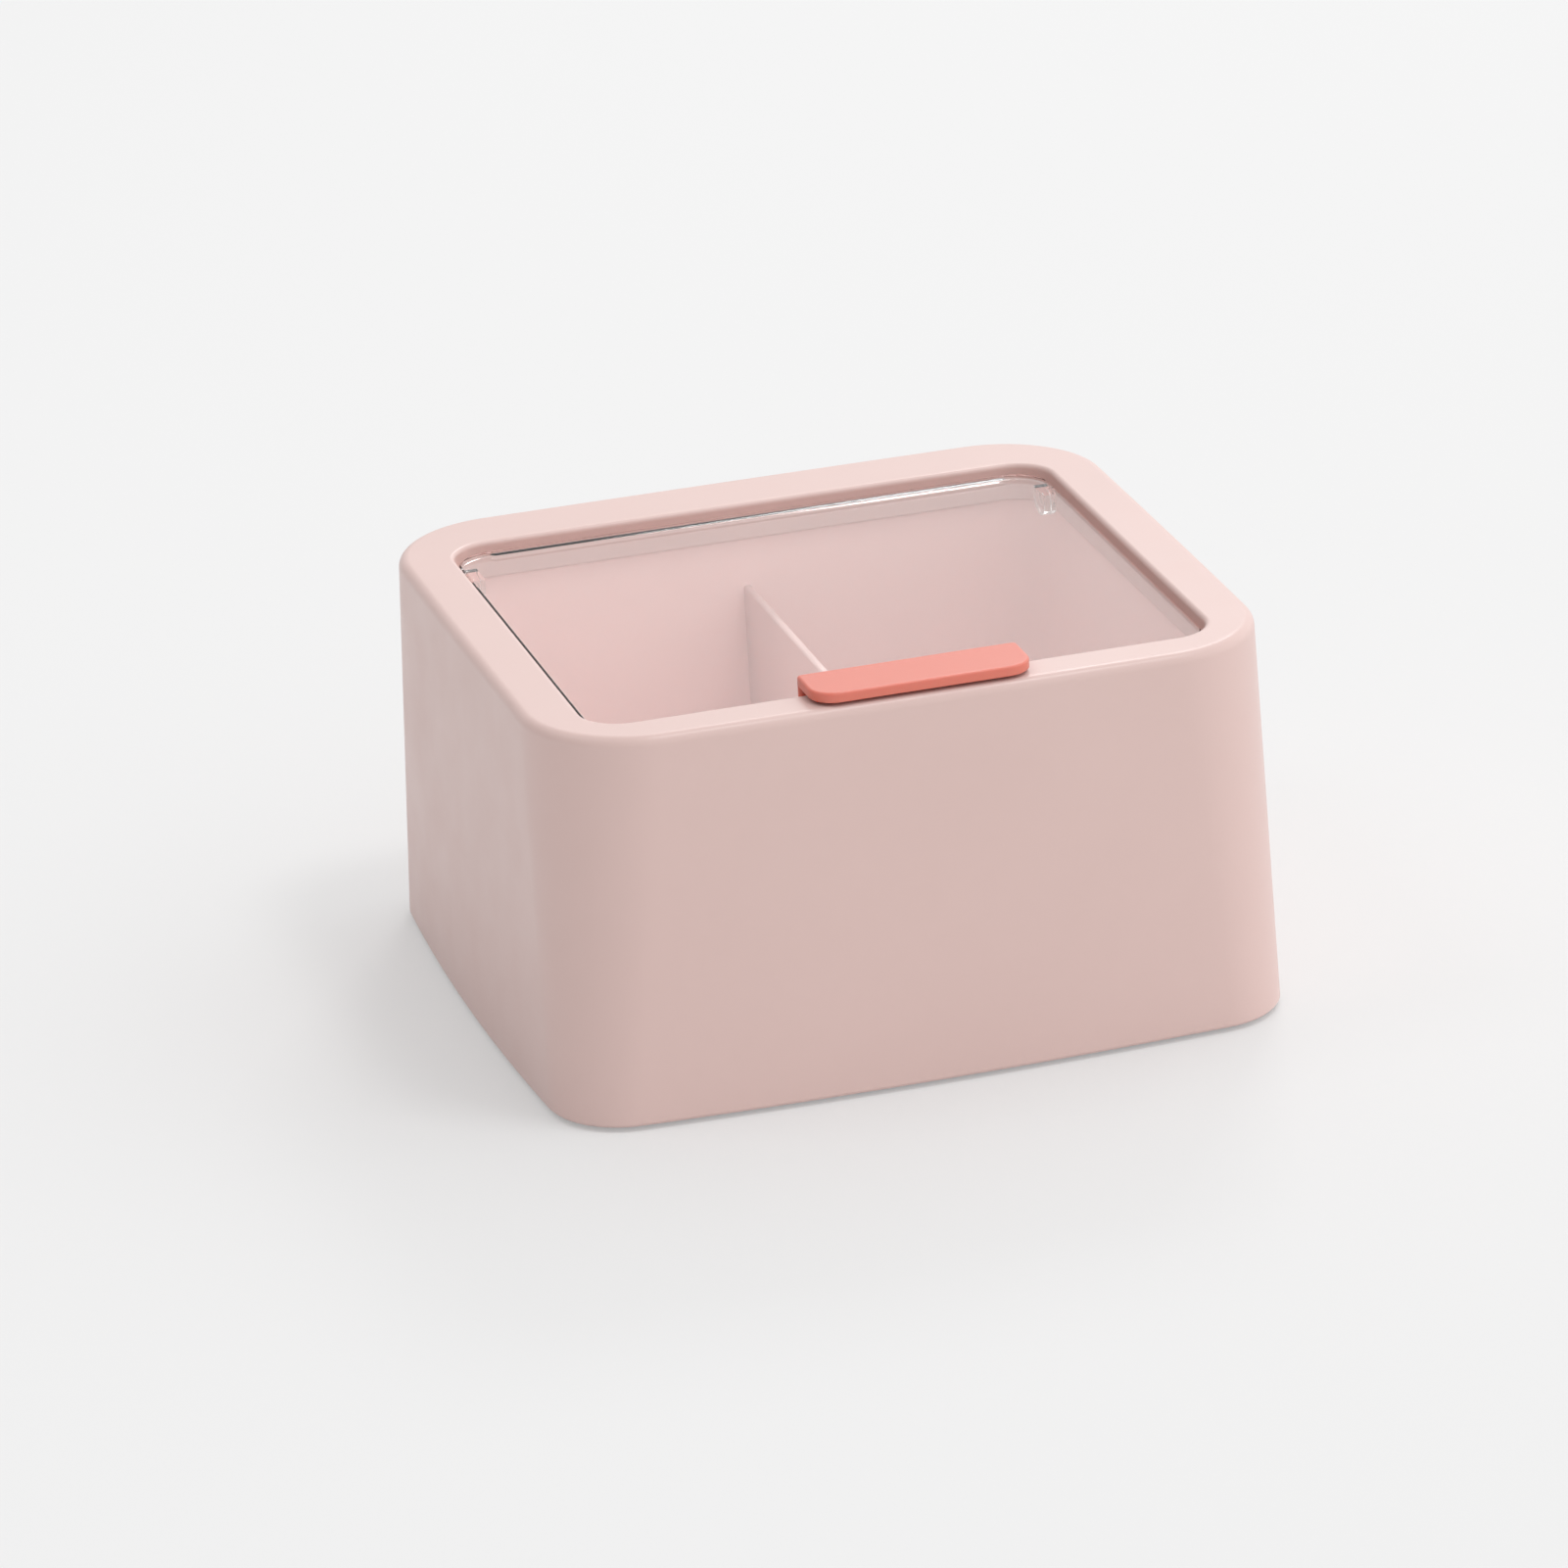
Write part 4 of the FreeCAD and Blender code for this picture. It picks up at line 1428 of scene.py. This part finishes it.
@dataclass
class BaseClosure:
    """The base plate with its screws and the four feet."""

    form: BoxForm
    shop: Workshop
    foot_radius: float = 5.5 * MM
    foot_thickness: float = 1.6 * MM
    foot_edge: float = 0.5 * MM
    screw_head_radius: float = 2.9 * MM
    screw_head_height: float = 1.6 * MM
    screw_head_round: float = 0.6 * MM
    screw_shank_radius: float = 1.45 * MM
    screw_seat: float = 3.5 * MM
    screw_top: float = 15.2 * MM

    def foot(self) -> Mesh:
        """Makes a foot.

        Returns:
            The mesh, on the ground in the middle of the box.
        """
        top = self.foot_thickness
        section = rounded(
            [
                Corner(self.foot_radius, 0.0),
                Corner(0.0, 0.0, self.foot_edge),
                Corner(0.0, top, self.foot_edge / 5),
                Corner(self.foot_radius, top),
            ]
        )
        circle = (Plan.circle(self.foot_radius),)
        return self.shop.swept("foot", capped(section), circle, self.shop.finishes.rubber, 64)

    def screw(self) -> Mesh:
        """Makes a pan head screw that stands on its head.

        Returns:
            The mesh, in the middle of the box.
        """
        head_low = self.screw_seat - self.screw_head_height
        neck = self.screw_head_radius - self.screw_shank_radius
        tip = self.screw_head_radius - self.screw_shank_radius / 2
        profile = rounded(
            [
                Corner(self.screw_head_radius, head_low),
                Corner(0.0, head_low, self.screw_head_round),
                Corner(0.0, self.screw_seat, self.screw_head_round / 6),
                Corner(neck, self.screw_seat),
                Corner(neck, self.screw_top - self.screw_head_height),
                Corner(tip, self.screw_top),
                Corner(self.screw_head_radius, self.screw_top),
            ],
            4,
        )
        circle = (Plan.circle(self.screw_head_radius),)
        return self.shop.swept("screw", capped(profile), circle, self.shop.finishes.steel, 32)

    def build(self) -> list[Object]:
        """Makes the feet and screws, and dresses the base plate.

        Returns:
            The finished pieces and the plate.
        """
        corners = self.form.corners()
        feet = self.shop.copied("feet", corners, self.foot())
        screws = self.shop.copied("screws", corners, self.screw())
        nodes = ["foot_front_left", "foot_front_right", "foot_rear_left", "foot_rear_right"]
        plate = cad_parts["base_plate"]
        plate.data.materials.clear()
        plate.data.materials.append(self.shop.finishes.base)
        return [
            piece("feet", feet, Body.BOX, nodes),
            piece("screws", screws, Body.BOX, ["base_screws"]),
            plate,
        ]


class SoftLamp(NamedTuple):
    """A square soft lamp that faces the object."""

    name: str
    place: tuple[float, float, float]
    side: float
    watts: float


@dataclass
class Studio:
    """The pale floor, the soft lamps, the room's light and the camera."""

    azimuth: float = math.radians(-16.023)
    elevation: float = math.radians(21.839)
    roll: float = math.radians(2.87)
    distance: float = 1.442997
    lens: float = 188.59
    aim_height: float = 35.0 * MM
    aim_shift: tuple[float, float] = (-7.879 * MM, 1.566 * MM)
    floor_colour: str = "#F4F3F3"
    floor_seen: str = "#E2E2E2"
    floor_even: str = "#F0F0F0"
    even_share: float = 0.35
    floor_size: float = 8.0
    room_light: float = 0.9
    room_lean: float = 0.65
    lamps: tuple[SoftLamp, ...] = (
        SoftLamp("key_lamp", (0.39, -0.34, 1.41), 0.3, 3.5),
        SoftLamp("rear_lamp", (0.52, 1.02, 0.96), 0.35, 3.2),
        SoftLamp("fill_lamp", (-0.55, 0.10, 0.90), 0.35, 0.8),
    )

    def camera(self) -> None:
        """Places the camera as the photograph's was."""
        level = math.cos(self.elevation)
        back = (math.sin(self.azimuth) * level, -math.cos(self.azimuth) * level, math.sin(self.elevation))
        back = Vector(back)
        right = Vector((math.cos(self.azimuth), math.sin(self.azimuth), 0.0))
        down = (-back).cross(right)
        place = Vector((0.0, 0.0, self.aim_height)) + back * self.distance
        place += right * self.aim_shift[0] + down * self.aim_shift[1]
        across = math.cos(self.roll) * right + math.sin(self.roll) * down
        under = -math.sin(self.roll) * right + math.cos(self.roll) * down
        data = bpy.data.cameras.new("photo_camera")
        data.lens = self.lens
        data.clip_start = 0.05
        data.clip_end = 40.0
        made = in_scene("photo_camera", data)
        turned = Matrix((across, -under, back)).transposed()
        made.matrix_world = Matrix.Translation(place) @ turned.to_4x4()
        bpy.context.scene.camera = made

    def paper(self) -> Material:
        """Makes the floor's matt paper.

        Returns:
            The material, with its own colour for what the camera and clear plastic see.
        """
        material, tree = blank_material("matt studio paper")
        ray = tree.nodes.new("ShaderNodeLightPath").outputs
        seen = ray["Is Camera Ray"]
        for kind in ("Is Glossy Ray", "Is Transmission Ray"):
            seen = add(tree, MATH, (seen, ray[kind]), operation="MAXIMUM")
        colour = {0: seen, 6: linear(self.floor_colour), 7: linear(self.floor_seen)}
        colour = add(tree, MIX, colour, data_type="RGBA").outputs[2]
        matt = {"Base Color": colour, "Roughness": 0.9, "Specular IOR Level": 0.0}
        matt = add(tree, "ShaderNodeBsdfPrincipled", matt)
        # Part of the floor's tone is even, so that its shadow stays as pale as it is.
        even = add(tree, "ShaderNodeEmission", {"Color": linear(self.floor_even)})
        share = add(tree, MATH, (seen, self.even_share), operation="MULTIPLY")
        surface = add(tree, "ShaderNodeMixShader", (share, matt, even))
        add(tree, "ShaderNodeOutputMaterial", {"Surface": surface})
        return material

    def floor(self) -> None:
        """Lays the pale floor."""
        half = self.floor_size / 2
        mesh = bpy.data.meshes.new("studio_floor")
        corners = [(-half, -half, 0), (half, -half, 0), (half, half, 0), (-half, half, 0)]
        mesh.from_pydata(corners, [], [(0, 1, 2, 3)])
        mesh.materials.append(self.paper())
        made = in_scene("studio_floor", mesh)

    def hang(self, lamp: SoftLamp) -> None:
        """Hangs a lamp and turns it to the object.

        Args:
            lamp: The lamp.
        """
        data = bpy.data.lights.new(lamp.name, "AREA")
        data.size = lamp.side
        data.energy = lamp.watts
        made = in_scene(lamp.name, data)
        place = Vector(lamp.place)
        facing = (Vector((0.0, 0.0, self.aim_height)) - place).to_track_quat("-Z", "Y")
        made.matrix_world = Matrix.Translation(place) @ facing.to_matrix().to_4x4()

    def room(self) -> None:
        """Sets the room's soft light, which falls off evenly from the right to the left."""
        world = bpy.data.worlds.new("soft_room")
        bpy.context.scene.world = world
        world.use_nodes = True
        tree = world.node_tree
        tree.nodes.clear()
        towards = tree.nodes.new("ShaderNodeTexCoord").outputs["Generated"]
        parts = add(tree, "ShaderNodeSeparateXYZ", (towards,))
        slope = (parts.outputs["X"], self.room_light * self.room_lean, self.room_light)
        level = add(tree, MATH, slope, operation="MULTIPLY_ADD")
        sky = add(tree, "ShaderNodeBackground", {"Color": (1.0, 1.0, 1.0, 1.0), "Strength": level})
        add(tree, "ShaderNodeOutputWorld", {"Surface": sky})

    def build(self) -> None:
        """Sets up the whole studio."""
        self.floor()
        self.room()
        for lamp in self.lamps:
            self.hang(lamp)
        self.camera()
        bpy.context.scene.view_settings.view_transform = "Standard"


def main() -> None:
    """Builds the sub-assemblies in order, logging the faces of each piece, then the studio."""
    logging.basicConfig(level=logging.INFO, format="%(name)s: %(message)s")
    shop = Workshop()
    form = BoxForm()
    lid = ClearLid(form, shop)
    for part in (OuterShell(form, shop), InnerTray(form, shop), lid, PullTab(lid), BaseClosure(form, shop)):
        for made in part.build():
            LOG.info("%s: %d faces", made.name, len(made.data.polygons))
    Studio().build()


if __name__ == "__main__":
    main()
